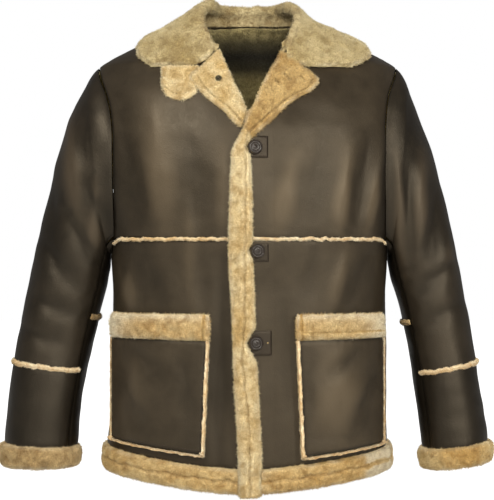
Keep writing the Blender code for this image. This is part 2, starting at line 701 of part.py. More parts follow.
def throat_tab():
    lapel = np.array(RIGHT_LAPEL)[::-1]
    lapel_edge = Curve(lapel[:, 2], lapel[:, 3])
    share = (1 - np.cos(np.linspace(0, pi, 8)))[None, :] / 2
    bottom = TAB_SHOULDER - TAB_DEPTH * np.sqrt(np.clip(1 - (2 * share - 1) ** 2, 0, 1))
    down = np.linspace(0, 1, 7)[:, None]
    level = TAB_TOP + (bottom - TAB_TOP) * down
    inner_x = np.maximum(lapel_edge(np.maximum(level, -0.106)), -0.2) - 0.0012
    inner_x = np.minimum(inner_x, -0.0742)
    x = TAB_SIDE + (inner_x - TAB_SIDE) * share
    height = 0.0075 * (0.5 + 0.5 * np.minimum(puff(8, 0)[None, :] * 1.2, 1)) * (1 - 0.4 * down**6)
    shell("throat_tab", right_front(level, x, height), right_front(level, x, GAP + 0 * x), WOOL_SKIN)


def neck_path(side):
    """The neckline's (level, angle) from the front end to the middle of the back, with its own lengths."""
    name = "left" if side > 0 else "right"
    front = np.linspace(NOTCH_LEVEL, NECK_LEVEL, 40)
    angles = angle_at(front, EDGE_AT[name](front))
    rear = np.linspace(side * pi / 2, side * pi, 40)[1:]
    level = np.concatenate([front, NECK_LEVEL + 0 * rear])
    angle = np.concatenate([angles, rear])
    points = body(level, angle)
    length = np.concatenate([[0], np.cumsum(np.linalg.norm(np.diff(points, axis=0), axis=1))])
    return level, angle, length / length[-1]


def collar():
    """A stand that rises from the neckline, folds over and falls on the shoulders."""
    paths = []
    for side, fractions in ((-1, np.linspace(0, 1, 13)), (1, np.linspace(1, 0, 13)[1:])):
        levels, angles, lengths = neck_path(side)
        for fraction in fractions:
            level = np.interp(fraction, lengths, levels)
            angle = np.interp(fraction, lengths, angles)
            paths.append((side, fraction, level, angle))
    hidden_rows, fall_share = [], np.linspace(0, 1, 8)[1:] ** 1.3
    for side, fraction, level, angle in paths:
        neck = body(level, angle)
        normal = body_normal(level, angle)
        out = unit(np.array([normal[0], normal[1], 0.0]))
        lines, ease = COLLAR_AT[side], COLLAR_EASES[side]
        stand, lean = lines["stand"](fraction), lines["lean"](fraction)
        foot = neck - normal * WALL / 2 + np.array([0, 0, 0.0052]) - out * 0.001
        aside = side * COLLAR_SPREAD * np.clip(1 - fraction / 0.3, 0, 1)
        bend = np.array([aside, 0, 0]) - out * lean
        head = foot + np.array([0, 0, stand]) + bend
        row = []
        for t in (0.0, 0.5, 1.0):
            row.append(foot + np.array([0, 0, stand * t]) + bend * t**2 + out * COLLAR_STAND / 2)
        start = head + out * (COLLAR_STAND / 2 + COLLAR_SLOT)
        row.append((row[-1] + start) / 2 + np.array([0, 0, COLLAR_SLOT / 2]))
        row.append(start)
        edge_level = lines["edge_level"](fraction)
        edge_angle = side * radians(float(lines["edge_degrees"](fraction)))
        lead = start - neck - normal * COLLAR_REST
        sag = -COLLAR_SAG * np.clip(1 - fraction / 0.15, 0, 1)
        for t in fall_share:
            at = level + (edge_level - level) * t + sag * np.sin(pi * t**0.5)
            turn = angle + (edge_angle - angle) * t
            rest = body(at, turn) + body_normal(at, turn) * COLLAR_REST
            row.append(rest + lead * (1 - t) ** ease)
        hidden_rows.append(row)
    hidden = np.array(hidden_rows)
    # The wool side lies outside the hidden side, along the grid's own normals.
    along = np.gradient(hidden, axis=0)
    over = np.gradient(hidden, axis=1)
    outward = unit(np.cross(along, over))
    middle = len(hidden) // 2
    if outward[middle, -2] @ np.array([0.0, 1.0, 0.0]) < 0:
        outward = -outward
    stand = [COLLAR_STAND] * 3 + [COLLAR_STAND + 0.001]
    thickness = np.array(stand + [COLLAR_FALL] * 7 + [COLLAR_FALL * 0.55])
    shell("collar", hidden + outward * thickness[None, :, None], hidden, WOOL_SKIN)


def fastening():
    knots = np.array(BAND_EDGE)[:, 0]
    lapel_end = np.array(LEFT_LAPEL)[-2:, 2:][::-1]
    for number, (level, x, top, bottom, right_side) in enumerate(STAYS, start=1):
        inside = knots[(knots > bottom) & (knots < top)]
        rows = np.sort(np.concatenate([[bottom, top], inside]))[:, None]
        lapel_side = np.interp(rows, lapel_end[:, 0], lapel_end[:, 1], left=-1)
        first = np.maximum(band_side(rows) + 0.0007, lapel_side + 0.0016)
        second = np.maximum(first + 0.001, OVERLAP_START)
        bends = [first, second, OVERLAP_BENDS[1] + 0 * rows, right_side + 0 * rows]
        across = np.concatenate(bends, axis=1)
        lifts = [left_front(rows, across, lift + 0 * across) for lift in (STAY_THICKNESS + 2 * GAP, 2 * GAP)]
        shell(f"button_stay_{number}", *lifts, DARK_LEATHER)
        seat = left_front(level, x, np.array(STAY_THICKNESS + 3.5 * GAP))
        across = left_front(level, x + 0.004, np.array(0.0)) - left_front(level, x - 0.004, np.array(0.0))
        upward = left_front(level + 0.004, x, np.array(0.0)) - left_front(level - 0.004, x, np.array(0.0))
        radius = BUTTON_RADIUS
        profile = (
            (0.0, 0.0),
            (0.0035, 0.0),
            (0.0035, 0.0018),
            (radius, 0.0018),
            (radius, 0.0040),
            (radius * 0.86, 0.0052),
            (radius * 0.68, 0.0052),
            (radius * 0.60, 0.0040),
            (radius * 0.45, 0.0055),
            (0.0, 0.0055),
        )
        turned(f"button_{number}", profile, seat, np.cross(across, upward), BUTTON_FACE)


def eyelet():
    level, x = EYELET
    height = WOOL + 2 * GAP
    centre = right_front(level, x, np.array(height))
    axis = right_front(level, x, np.array(height + 0.01)) - centre
    profile = ((0.0030, 0.0), (0.0052, 0.0), (0.0052, 0.0010), (0.0041, 0.0018), (0.0030, 0.0010))
    turned("lapel_eyelet", profile, centre, axis, DARK_LEATHER, segments=12, ring=True)


for leftover in list(bpy.data.objects):
    bpy.data.objects.remove(leftover, do_unlink=True)
front_panels()
back_panel()
sleeve_panels()
chest_welts()
lapels()
front_band()
hem_bands()
pockets()
throat_tab()
collar()
fastening()
eyelet()
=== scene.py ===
# %% [markdown]
# # A shearling jacket
# A hip-length coat of sheepskin, worn with the dark brown skin side out and the wool side in. It is
# shown filled out as if worn, with nobody in it. Wherever an edge is turned, the wool comes to the
# outside: on the collar, the lapels, the front band, the hem, the cuffs and the pocket tops. We load
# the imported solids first. They fix every size, and each solid is then replaced by a finer piece of the
# same place and form.

# %% Load the solids
from math import cos, pi, radians, sin

import bpy
import numpy as np
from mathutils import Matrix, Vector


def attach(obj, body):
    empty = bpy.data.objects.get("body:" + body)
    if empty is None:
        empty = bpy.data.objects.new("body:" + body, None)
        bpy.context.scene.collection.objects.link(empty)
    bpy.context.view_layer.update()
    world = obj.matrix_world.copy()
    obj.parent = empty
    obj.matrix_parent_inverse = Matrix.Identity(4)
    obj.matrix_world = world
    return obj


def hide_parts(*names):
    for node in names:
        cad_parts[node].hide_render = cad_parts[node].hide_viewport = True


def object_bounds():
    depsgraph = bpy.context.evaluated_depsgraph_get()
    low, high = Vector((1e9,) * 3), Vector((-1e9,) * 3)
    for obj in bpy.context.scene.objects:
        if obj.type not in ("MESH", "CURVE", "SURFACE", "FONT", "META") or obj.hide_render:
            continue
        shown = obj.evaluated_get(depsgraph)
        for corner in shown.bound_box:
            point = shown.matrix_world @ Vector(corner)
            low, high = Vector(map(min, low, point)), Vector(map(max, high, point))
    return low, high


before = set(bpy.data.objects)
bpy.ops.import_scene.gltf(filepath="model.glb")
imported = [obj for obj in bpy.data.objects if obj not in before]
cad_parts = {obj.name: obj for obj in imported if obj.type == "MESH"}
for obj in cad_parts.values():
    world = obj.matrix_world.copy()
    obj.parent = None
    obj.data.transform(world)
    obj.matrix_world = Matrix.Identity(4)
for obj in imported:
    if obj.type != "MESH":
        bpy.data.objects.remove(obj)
solid_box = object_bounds()
scene = bpy.context.scene
print("solids:", len(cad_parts))

# %% [markdown]
# ## Camera, floor and light
# The photograph looks straight at the middle of the coat from about two and a half metres, so its sides
# turn away a little. The coat is dark and satin, so it needs large soft lamps: their reflections are
# the broad pale areas on the chest and the pockets. The floor and the surroundings are nearly white,
# like a photographer's paper.

# %% Camera
DISTANCE = 2.55
MIDDLE_LEVEL = -0.355
PHOTO_COLUMNS = 494
METRES_A_COLUMN = 0.00165

camera = bpy.data.objects.new("camera", bpy.data.cameras.new("camera"))
scene.collection.objects.link(camera)
camera.location = (0.0, -DISTANCE, MIDDLE_LEVEL)
camera.rotation_euler = (pi / 2, 0.0, 0.0)
camera.data.sensor_fit = "HORIZONTAL"
camera.data.sensor_width = 36.0
camera.data.lens = camera.data.sensor_width * DISTANCE / (PHOTO_COLUMNS * METRES_A_COLUMN)
scene.camera = camera
scene.view_settings.view_transform = "Standard"


# %% Floor, surroundings and lamps
WARM = (1.0, 0.955, 0.87)
FLOOR_REACH = 6.0


def lamp(name, place, aim, size, power):
    """A soft square lamp at a place, turned towards another."""
    made = bpy.data.objects.new(name, bpy.data.lights.new(name, "AREA"))
    scene.collection.objects.link(made)
    made.data.shape = "RECTANGLE"
    made.data.size, made.data.size_y = size
    made.data.energy = power
    made.data.color = WARM
    made.location = place
    towards = np.subtract(aim, place)
    made.rotation_euler = (
        float(np.arctan2(np.hypot(towards[0], towards[1]), -towards[2])),
        0.0,
        float(np.arctan2(towards[1], towards[0]) - pi / 2),
    )


def floor(level):
    """A sheet of white paper. It glows fully for the camera, and only faintly for the coat."""
    mesh = bpy.data.meshes.new("floor")
    corners = [(FLOOR_REACH * x, FLOOR_REACH * y, level) for x, y in ((-1, -1), (1, -1), (1, 1), (-1, 1))]
    mesh.from_pydata(corners, [], [(0, 1, 2, 3)])
    made = bpy.data.objects.new("floor", mesh)
    scene.collection.objects.link(made)
    paper = bpy.data.materials.new("paper")
    paper.use_nodes = True
    shader = paper.node_tree.nodes["Principled BSDF"]
    shader.inputs["Base Color"].default_value = (0.9, 0.9, 0.9, 1.0)
    shader.inputs["Roughness"].default_value = 0.9
    shader.inputs["Emission Color"].default_value = (1.0, 1.0, 1.0, 1.0)
    seen = paper.node_tree.nodes.new("ShaderNodeLightPath")
    glow = paper.node_tree.nodes.new("ShaderNodeMath")
    glow.operation = "MULTIPLY_ADD"
    glow.inputs[1].default_value = 0.9
    glow.inputs[2].default_value = 0.1
    paper.node_tree.links.new(seen.outputs["Is Camera Ray"], glow.inputs[0])
    paper.node_tree.links.new(glow.outputs[0], shader.inputs["Emission Strength"])
    mesh.materials.append(paper)


world = bpy.data.worlds.new("studio")
scene.world = world
world.use_nodes = True
sky = world.node_tree
backdrop = sky.nodes["Background"]
backdrop.inputs["Color"].default_value = (1.0, 1.0, 1.0, 1.0)
path = sky.nodes.new("ShaderNodeLightPath")
strength = sky.nodes.new("ShaderNodeMix")
strength.data_type = "FLOAT"
strength.inputs[2].default_value = 0.20
strength.inputs[3].default_value = 1.0
sky.links.new(path.outputs["Is Camera Ray"], strength.inputs[0])
sky.links.new(strength.outputs[0], backdrop.inputs["Strength"])

floor(float(solid_box[0][2]) - 0.012)
lamp("key", (-1.3, -2.4, 1.4), (0.0, 0.0, -0.25), (0.8, 0.8), 56.0)
lamp("fill", (1.7, -2.5, 0.5), (0.0, 0.0, -0.4), (0.5, 1.4), 38.0)
lamp("front", (0.4, -3.3, 0.6), (0.0, 0.0, -0.35), (0.7, 1.0), 34.0)

# %% [markdown]
# ## A short way to write shader maths
# Patterns in a material are sums and products of noises. `Value` wraps one socket, so that such a sum
# can be written as a plain Python expression, and each operator adds its Math node. `Finish` holds one
# material, and its `add` makes any other node.


# %% Shader helpers
class Value:
    """One output socket that can be used in a Python expression."""

    def __init__(self, finish, socket):
        self.finish = finish
        self.socket = socket

    def maths(self, operation, other):
        return self.finish.add("ShaderNodeMath", {"operation": operation}, {0: self, 1: other})

    def __add__(self, other):
        return self.maths("ADD", other)

    def __mul__(self, other):
        return self.maths("MULTIPLY", other)

    def between(self, low, high, to_low=0.0, to_high=1.0):
        """This value, moved from one range to another and kept inside it."""
        given = {1: low, 2: high, 3: to_low, 4: to_high}
        return self.finish.add("ShaderNodeMapRange", {"clamp": True}, {0: self, **given})


class Finish:
    """A material, by the name of what it is on the coat."""

    def __init__(self, name, roughness):
        self.material = bpy.data.materials.new(name)
        self.material.use_nodes = True
        self.tree = self.material.node_tree
        self.shader = self.tree.nodes["Principled BSDF"]
        self.set("Roughness", roughness)

    def set(self, socket, value):
        self.put(self.shader.inputs[socket], value)

    def put(self, socket, value):
        if isinstance(value, Value):
            self.tree.links.new(value.socket, socket)
        elif hasattr(value, "__len__") and len(socket.default_value) == 4:
            socket.default_value = (*value[:3], 1.0)
        else:
            socket.default_value = value

    def add(self, kind, settings=None, values=None, out=0):
        node = self.tree.nodes.new(kind)
        for name, value in (settings or {}).items():
            setattr(node, name, value)
        for name, value in (values or {}).items():
            self.put(node.inputs[name], value)
        return Value(self, node.outputs[out])

    def place(self):
        return self.add("ShaderNodeTexCoord", out="Object")

    def noise(self, scale, detail=3.0, roughness=0.5, distortion=0.0):
        """A soft noise from 0 to 1, with its scale in patches to the metre."""
        given = {"Scale": scale, "Detail": detail, "Roughness": roughness, "Distortion": distortion}
        return self.add("ShaderNodeTexNoise", values={"Vector": self.place(), **given})

    def blend(self, share, first, second):
        return self.add("ShaderNodeMix", {"data_type": "RGBA"}, {0: share, 6: first, 7: second}, out=2)

    def attribute(self, name):
        return self.add("ShaderNodeAttribute", {"attribute_name": name}, out="Fac")

    def bump(self, height, distance, strength=1.0):
        given = {"Height": height, "Distance": distance, "Strength": strength}
        self.set("Normal", self.add("ShaderNodeBump", values=given))


# %% [markdown]
# ## The leather
# Garment sheepskin is dyed dark brown and lightly waxed, which gives a satin surface. Close up it has a
# fine grain of small cells. The dye is a little uneven, paler and greyer where the skin is handled or
# stretched, and redder where it is thin. So the colour is a ramp on a large noise and a small one, and
# the grain is a bump of two cell patterns. On that colour lies painted shade, near black in the seams,
# the armpits and the troughs, and a painted highlight, partly wear from rubbing, along the ridges.


# %% Leather finishes
def leather_finish(name, dark, pale, roughness):
    finish = Finish(name, roughness)
    cloud = finish.noise(7.0, 4.0, 0.6)
    # Painted shade: where the `shade` attribute is above zero, in seams, armpits, troughs and on the sleeves'
    # under and lower parts, the colour goes towards near black.
    seams = finish.attribute("shade").between(0.0, 1.0, 1.0, 0.12)
    patch = finish.noise(34.0, 4.0, 0.65, 0.4)
    wear = (cloud * 0.65 + patch * 0.35).between(0.38, 0.66)
    # Painted highlight, partly wear from rubbing: where `shade` is below zero, along the ridges, the colour
    # turns paler.
    ridge_wear_and_highlight = finish.attribute("shade").between(-1.0, 0.0, 1.0, 0.0)
    wear_and_highlight = finish.blend(ridge_wear_and_highlight, finish.blend(wear, dark, pale), tuple(2.3 * share for share in pale))
    finish.set("Base Color", finish.blend(seams, (0.004, 0.003, 0.002), wear_and_highlight))
    grain = {"Vector": finish.place(), "Scale": 620.0}
    cells = finish.add("ShaderNodeTexVoronoi", {"feature": "F1"}, grain)
    pores = finish.noise(1500.0, 2.0)
    wrinkle = finish.noise(90.0, 4.0, 0.7, 1.2)
    finish.set("Specular IOR Level", 0.42)
    finish.set("Specular Tint", (1.0, 0.86, 0.66))
    finish.bump(cells * 0.35 + pores * 0.25 + wrinkle * 0.9, 0.0009, 0.35)
    uneven = (patch * 0.5 + wrinkle * 0.5).between(0.3, 0.7, roughness - 0.06, roughness + 0.08)
    finish.set("Roughness", uneven)
    return finish.material


leather = leather_finish("leather", (0.021, 0.0155, 0.0095), (0.040, 0.0300, 0.0185), 0.42)
# A darker copy of the leather for the sleeves: painted shade.
shaded_sleeve_leather = leather_finish("shaded_sleeve_leather", (0.010, 0.0078, 0.0052), (0.024, 0.018, 0.0118), 0.43)
dark_leather = leather_finish("dark_leather", (0.010, 0.007, 0.005), (0.019, 0.013, 0.0095), 0.42)

# %% [markdown]
# ## The wool
# Shorn wool is a dense pile of fine crimped fibres. The tips are pale gold and catch the light, and
# between the tufts the pile is darker and warmer. We shade it in two layers: a soft lumpy ground, and
# thousands of small tufts that carry an attribute `tip`, from 0 at the root to 1 at the end. The
# attribute `shade` adds painted shade in the grooves, on the collar's stand and inside the back, and a
# painted highlight along the rims and at the ends of some bands.


# %% Wool finishes
def wool_finish(name, root, middle, pale, tufted):
    finish = Finish(name, 0.92)
    cloud = finish.noise(16.0, 3.0, 0.55)
    tuft = finish.noise(230.0, 4.0, 0.7, 0.6)
    lock = finish.noise(70.0, 3.0, 0.6, 0.5)
    ground = finish.blend((cloud * 0.6 + lock * 0.4).between(0.38, 0.60), middle, pale)
    # Painted highlight: where `shade` is below zero the ground turns cream.
    painted_highlight = finish.attribute("shade").between(-1.0, 0.0, 1.0, 0.0)
    ground = finish.blend(painted_highlight, ground, (0.97, 0.885, 0.66))
    if tufted:
        shade = finish.attribute("tip").between(-0.3, 0.7) * lock.between(0.30, 0.55, 0.55, 1.0)
    else:
        shade = (tuft * 0.6 + lock * 0.4).between(0.34, 0.56)
    # Painted shade: where `shade` is above zero, in the grooves and on the collar's stand, the colour goes
    # towards the root's.
    shade = shade * finish.attribute("shade").between(0.0, 1.0, 1.0, 0.45)
    colour = finish.blend(shade, root, ground)
    # Painted shade inside the back: there the lining darkens to near black.
    if name.startswith("lining"):
        deep = finish.attribute("shade").between(0.25, 1.0, 0.0, 1.0)
        colour = finish.blend(deep, colour, (0.010, 0.009, 0.005))
    finish.set("Base Color", colour)
    finish.set("Sheen Weight", 0.25)
    finish.set("Sheen Roughness", 0.6)
    finish.set("Sheen Tint", (1.0, 0.9, 0.7))
    if not tufted:
        finish.bump(tuft * 0.7 + lock * 0.5, 0.002, 0.8)
    return finish.material


WOOLS = {
    "wool": ((0.28, 0.150, 0.040), (0.66, 0.425, 0.130), (0.86, 0.680, 0.345)),
    "cream": ((0.34, 0.210, 0.070), (0.82, 0.620, 0.285), (0.96, 0.850, 0.560)),
    "collar": ((0.20, 0.130, 0.050), (0.53, 0.410, 0.180), (0.76, 0.650, 0.375)),
    "golden": ((0.22, 0.120, 0.035), (0.55, 0.350, 0.110), (0.78, 0.580, 0.260)),
    "cuff": ((0.18, 0.100, 0.030), (0.46, 0.290, 0.105), (0.74, 0.560, 0.285)),
    "welt": ((0.46, 0.240, 0.075), (0.86, 0.670, 0.360), (0.95, 0.860, 0.620)),
    "lining": ((0.09, 0.070, 0.025), (0.52, 0.430, 0.180), (0.78, 0.660, 0.320)),
}
grounds = {name: wool_finish(f"{name}_ground", *colours, tufted=False) for name, colours in WOOLS.items()}
pelts = {name: wool_finish(f"{name}_tufts", *colours, tufted=True) for name, colours in WOOLS.items()}
lining = grounds["lining"]

# %% Metal, button and thread finishes
def plain_finish(name, roughness, grain, dark, pale, metallic=0.0, relief=0.0):
    """A smooth finish whose colour varies a little between two."""
    finish = Finish(name, roughness)
    finish.set("Base Color", finish.blend(finish.noise(grain), dark, pale))
    finish.set("Metallic", metallic)
    if relief:
        finish.bump(finish.noise(900.0, 3.0), relief, 0.3)
    return finish.material


eyelet_ring = plain_finish("eyelet_ring", 0.4, 300.0, (0.055, 0.045, 0.020), (0.13, 0.105, 0.050), 0.6)
rivet_brass = plain_finish("rivet_brass", 0.3, 500.0, (0.40, 0.28, 0.12), (0.62, 0.47, 0.24), 0.9)
button_face = plain_finish(
    "button_face", 0.30, 160.0, (0.018, 0.013, 0.010), (0.040, 0.029, 0.022), relief=0.0003
)
thread = plain_finish("thread", 0.7, 700.0, (0.030, 0.020, 0.012), (0.075, 0.052, 0.032))

# %% [markdown]
# ## The coat's sizes
# These are the same sizes and tables that the solids are made from, so each finer piece lies just where
# its solid does. A "level" is a height on the side of the torso, and the front hangs lower at the hem
# than the sides. Each row of `TORSO` is one rounded section of the body, and each row of a sleeve table
# is one slanted ring.

# %% Sizes and tables
GAP = 0.0003
WALL = 0.006
WOOL = 0.009
RAW_EDGE = 0.0072
RAW_HEIGHT = 0.0045

NECK_LEVEL = 0.012
CHEST_LEVEL = -0.338
HEM_TOP = -0.670
HEM_BOTTOM = -0.708
HEM_DIP = -0.026
BACK_NECK_RISE = 0.012

TORSO_COLUMNS = ("level", "half_width", "front", "back", "power", "centre")
TORSO = (
    (-0.750, 0.2325, 0.152, 0.146, 2.35, 0.000),
    (-0.670, 0.2300, 0.151, 0.142, 2.40, 0.001),
    (-0.560, 0.2240, 0.149, 0.133, 2.40, 0.004),
    (-0.450, 0.2240, 0.148, 0.130, 2.40, 0.004),
    (-0.365, 0.2255, 0.150, 0.133, 2.45, 0.004),
    (-0.330, 0.2335, 0.151, 0.136, 2.45, 0.004),
    (-0.290, 0.2435, 0.152, 0.140, 2.40, 0.004),
    (-0.240, 0.2530, 0.152, 0.143, 2.35, 0.003),
    (-0.180, 0.2580, 0.146, 0.142, 2.30, 0.003),
    (-0.130, 0.2590, 0.133, 0.137, 2.20, 0.002),
    (-0.100, 0.2570, 0.122, 0.131, 2.10, 0.001),
    (-0.078, 0.2520, 0.112, 0.125, 2.00, 0.001),
    (-0.0555, 0.2440, 0.100, 0.115, 1.95, 0.001),
    (-0.0446, 0.2280, 0.093, 0.110, 1.95, 0.001),
    (-0.0347, 0.2080, 0.086, 0.104, 1.95, 0.001),
    (-0.0248, 0.1860, 0.080, 0.098, 1.95, 0.001),
    (-0.010, 0.1480, 0.071, 0.090, 1.95, 0.001),
    (0.012, 0.0880, 0.060, 0.078, 2.00, 0.002),
)

ARMHOLE_TOP = -0.0555
ARMHOLE_BOTTOM = -0.365
ARMHOLE_COLUMNS = ("level", "reach")
ARMHOLE = (
    (-0.365, 0.2255),
    (-0.345, 0.2205),
    (-0.310, 0.2175),
    (-0.250, 0.2170),
    (-0.170, 0.2180),
    (-0.130, 0.2215),
    (-0.100, 0.2285),
    (-0.075, 0.2385),
    (-0.0555, 0.2440),
)

# The free front edges: the wearer's left edge turns out along "left", the right one runs under it.
FRONT_EDGE_COLUMNS = ("level", "left", "right")
FRONT_EDGES = (
    (-0.750, -0.0118, 0.0060),
    (-0.649, -0.0133, 0.0060),
    (-0.538, -0.0199, 0.0060),
    (-0.451, -0.0228, 0.0060),
    (-0.355, -0.0279, 0.0060),
    (-0.246, -0.0251, 0.0060),
    (-0.206, -0.0229, 0.0060),
    (-0.169, -0.0062, 0.0060),
    (-0.145, 0.0025, 0.0035),
    (-0.129, 0.0133, -0.0035),
    (-0.107, 0.0214, -0.0150),
    (-0.083, 0.0326, -0.0255),
    (-0.054, 0.0505, -0.0405),
    (-0.030, 0.0655, -0.0590),
    (0.000, 0.0835, -0.0800),
    (0.012, 0.0925, -0.0900),
)
OVERLAP_LIFT = WALL + 0.0008
OVERLAP_START = 0.010
OVERLAP_END = 0.040
OVERLAP_BENDS = (OVERLAP_START, (OVERLAP_START + OVERLAP_END) / 2, OVERLAP_END)

# The front band's outer side, as (level, x), notched round each button.
BAND_EDGE = (
    (-0.711, 0.0215),
    (-0.649, 0.0226),
    (-0.580, 0.0185),
    (-0.525, 0.0152),
    (-0.5095, 0.0062),
    (-0.4965, -0.0006),
    (-0.4835, 0.0062),
    (-0.476, 0.0122),
    (-0.420, 0.0110),
    (-0.369, 0.0085),
    (-0.356, 0.0018),
    (-0.343, 0.0085),
    (-0.290, 0.0080),
    (-0.246, 0.0068),
    (-0.210, 0.0048),
    (-0.197, -0.0016),
    (-0.1832, 0.0062),
)
BAND_SLANT = 0.0165
BAND_SLANT_START = -0.235

LAPEL_REST = 0.0012
LAPEL_COLUMNS = ("roll_level", "roll_x", "outer_level", "outer_x")
LEFT_LAPEL = (
    (-0.0500, 0.0530, -0.0704, 0.0900),
    (-0.0600, 0.0460, -0.0710, 0.0950),
    (-0.0700, 0.0385, -0.0780, 0.1035),
    (-0.0830, 0.0315, -0.0887, 0.1120),
    (-0.0950, 0.0255, -0.1037, 0.1020),
    (-0.1070, 0.0204, -0.1160, 0.0800),
    (-0.1180, 0.0160, -0.1301, 0.0613),
    (-0.1290, 0.0123, -0.1479, 0.0433),
    (-0.1454, 0.0015, -0.1672, 0.0234),
    (-0.1660, -0.0050, -0.1825, 0.0066),
)
RIGHT_LAPEL = (
    (-0.0488, -0.0435, -0.0652, -0.0690),
    (-0.0590, -0.0365, -0.0700, -0.0760),
    (-0.0660, -0.0325, -0.0755, -0.0820),
    (-0.0750, -0.0280, -0.0830, -0.0870),
    (-0.0880, -0.0230, -0.0940, -0.0815),
    (-0.1000, -0.0170, -0.1060, -0.0730),
    (-0.1140, -0.0100, -0.1240, -0.0540),
    (-0.1280, -0.0045, -0.1400, -0.0340),
    (-0.1430, 0.0008, -0.1550, -0.0215),
    (-0.1530, -0.0026, -0.1615, -0.0138),
    (-0.1590, -0.0050, -0.1650, -0.0092),
)

# Sleeve rings, each one a slanted oval between an outer and an inner point.
SLEEVE_COLUMNS = ("outer_x", "outer_z", "inner_x", "inner_z", "centre_y", "half_depth")
RIGHT_SLEEVE = (
    (-0.2445, -0.0555, -0.2232, -0.3650, 0.000, 0.090),
    (-0.2560, -0.0680, -0.2236, -0.3704, 0.000, 0.089),
    (-0.2720, -0.0970, -0.2240, -0.3762, 0.000, 0.086),
    (-0.2890, -0.1345, -0.2245, -0.3830, 0.001, 0.083),
    (-0.3070, -0.1850, -0.2255, -0.3890, 0.002, 0.079),
    (-0.3280, -0.2670, -0.2272, -0.3980, 0.003, 0.074),
    (-0.3500, -0.3630, -0.2300, -0.4110, 0.003, 0.069),
    (-0.3630, -0.4260, -0.2380, -0.4420, 0.002, 0.066),
    (-0.3770, -0.4950, -0.2550, -0.5115, -0.003, 0.063),
    (-0.3860, -0.5660, -0.2670, -0.5790, -0.012, 0.061),
    (-0.3927, -0.6190, -0.2740, -0.6287, -0.019, 0.059),
    (-0.3965, -0.6680, -0.2770, -0.6730, -0.025, 0.058),
    (-0.3950, -0.7040, -0.2790, -0.7045, -0.029, 0.058),
)
LEFT_SLEEVE = (
    (0.2465, -0.0555, 0.2314, -0.3650, 0.000, 0.090),
    (0.2570, -0.0690, 0.2320, -0.3704, 0.000, 0.089),
    (0.2706, -0.1040, 0.2328, -0.3762, 0.000, 0.086),
    (0.2855, -0.1430, 0.2338, -0.3830, 0.001, 0.083),
    (0.3036, -0.1900, 0.2352, -0.3900, 0.002, 0.079),
    (0.3240, -0.2670, 0.2380, -0.4020, 0.003, 0.074),
    (0.3457, -0.3630, 0.2434, -0.4208, 0.003, 0.069),
    (0.3580, -0.4257, 0.2516, -0.4520, 0.002, 0.066),
    (0.3704, -0.4950, 0.2657, -0.5180, -0.003, 0.063),
    (0.3800, -0.5660, 0.2764, -0.5825, -0.012, 0.061),
    (0.3878, -0.6190, 0.2820, -0.6320, -0.019, 0.059),
    (0.3925, -0.6640, 0.2863, -0.6765, -0.025, 0.058),
    (0.3925, -0.6960, 0.2900, -0.7090, -0.029, 0.058),
)
SLEEVE_POWER = 2.1
SLEEVE_BLEND = 0.035
FRONT_SEAM = radians(145)
BACK_SEAM = radians(-105)
TOP_CROSS_Z = -0.537
UNDER_CROSS_Z = -0.452
CUFF_ROWS = 1
CUFF_LIFT = 0.0085

# Where the fall of the collar ends on the coat, from the front end (0) to the middle of the back (1).
COLLAR_COLUMNS = ("fraction", "edge_level", "edge_degrees", "stand", "lean")
LEFT_COLLAR = (
    (0.00, -0.0630, 65.0, 0.008, 0.000),
    (0.20, -0.0480, 75.0, 0.016, 0.006),
    (0.48, -0.0270, 91.0, 0.0255, 0.026),
    (0.65, -0.0270, 114.0, 0.026, 0.019),
    (0.82, -0.0350, 146.0, 0.023, 0.007),
    (1.00, -0.0420, 180.0, 0.022, 0.004),
)
RIGHT_COLLAR = (
    (0.00, -0.0630, 62.0, 0.008, 0.000),
    (0.20, -0.0480, 70.0, 0.018, 0.006),
    (0.48, -0.0190, 90.0, 0.0300, 0.030),
    (0.65, -0.0210, 114.0, 0.028, 0.022),
    (0.82, -0.0340, 146.0, 0.023, 0.008),
    (1.00, -0.0420, 180.0, 0.022, 0.004),
)
COLLAR_STAND = 0.008
COLLAR_FALL = 0.0098
COLLAR_SLOT = 0.004
COLLAR_REST = 0.0012
COLLAR_SAG = 0.011
COLLAR_EASES = {1: 16.0, -1: 2.8}
COLLAR_SPREAD = 0.008
NOTCH_LEVEL = -0.048

# Each pocket's name, the x of its inner side at the top and at the foot, the x of its outer side, and
# the level of its foot.
POCKETS = (
    ("right", -0.0565, -0.0665, -0.2080, -0.6550),
    ("left", 0.0745, 0.0845, 0.2090, -0.6610),
)
POCKET_TOP = -0.4555
POCKET_BAND_BOTTOM = -0.4935
POCKET_STAND = 0.0095
POCKET_FACE = 0.0040
POCKET_REST = 0.0006
POCKET_WIDTH = 0.195
POCKET_SWELL = 0.0025

TAB_SIDE = -0.135
TAB_TOP = -0.0665
TAB_SHOULDER = -0.092
TAB_DEPTH = 0.028

BUTTON_RADIUS = 0.0115
# Each button's level and x, and its stay's top level, bottom level and right side.
STAYS = (
    (-0.1970, 0.0122, -0.1785, -0.2120, 0.0327),
    (-0.3560, 0.0157, -0.3445, -0.3735, 0.0337),
    (-0.4965, 0.0134, -0.4795, -0.5135, 0.0383),
)
STAY_THICKNESS = 0.0018
EYELET = (-0.0895, -0.0440)

# %% [markdown]
# ## One surface for the whole body
# A smooth curve through each column of a table gives every size at any level. `body` turns them into a
# point on the torso's outer face, and `skin` moves that point out along the surface's normal. Panels,
# wool, welts and stitches are all made from these points, each one lifted a little further, so they fit
# each other by themselves.

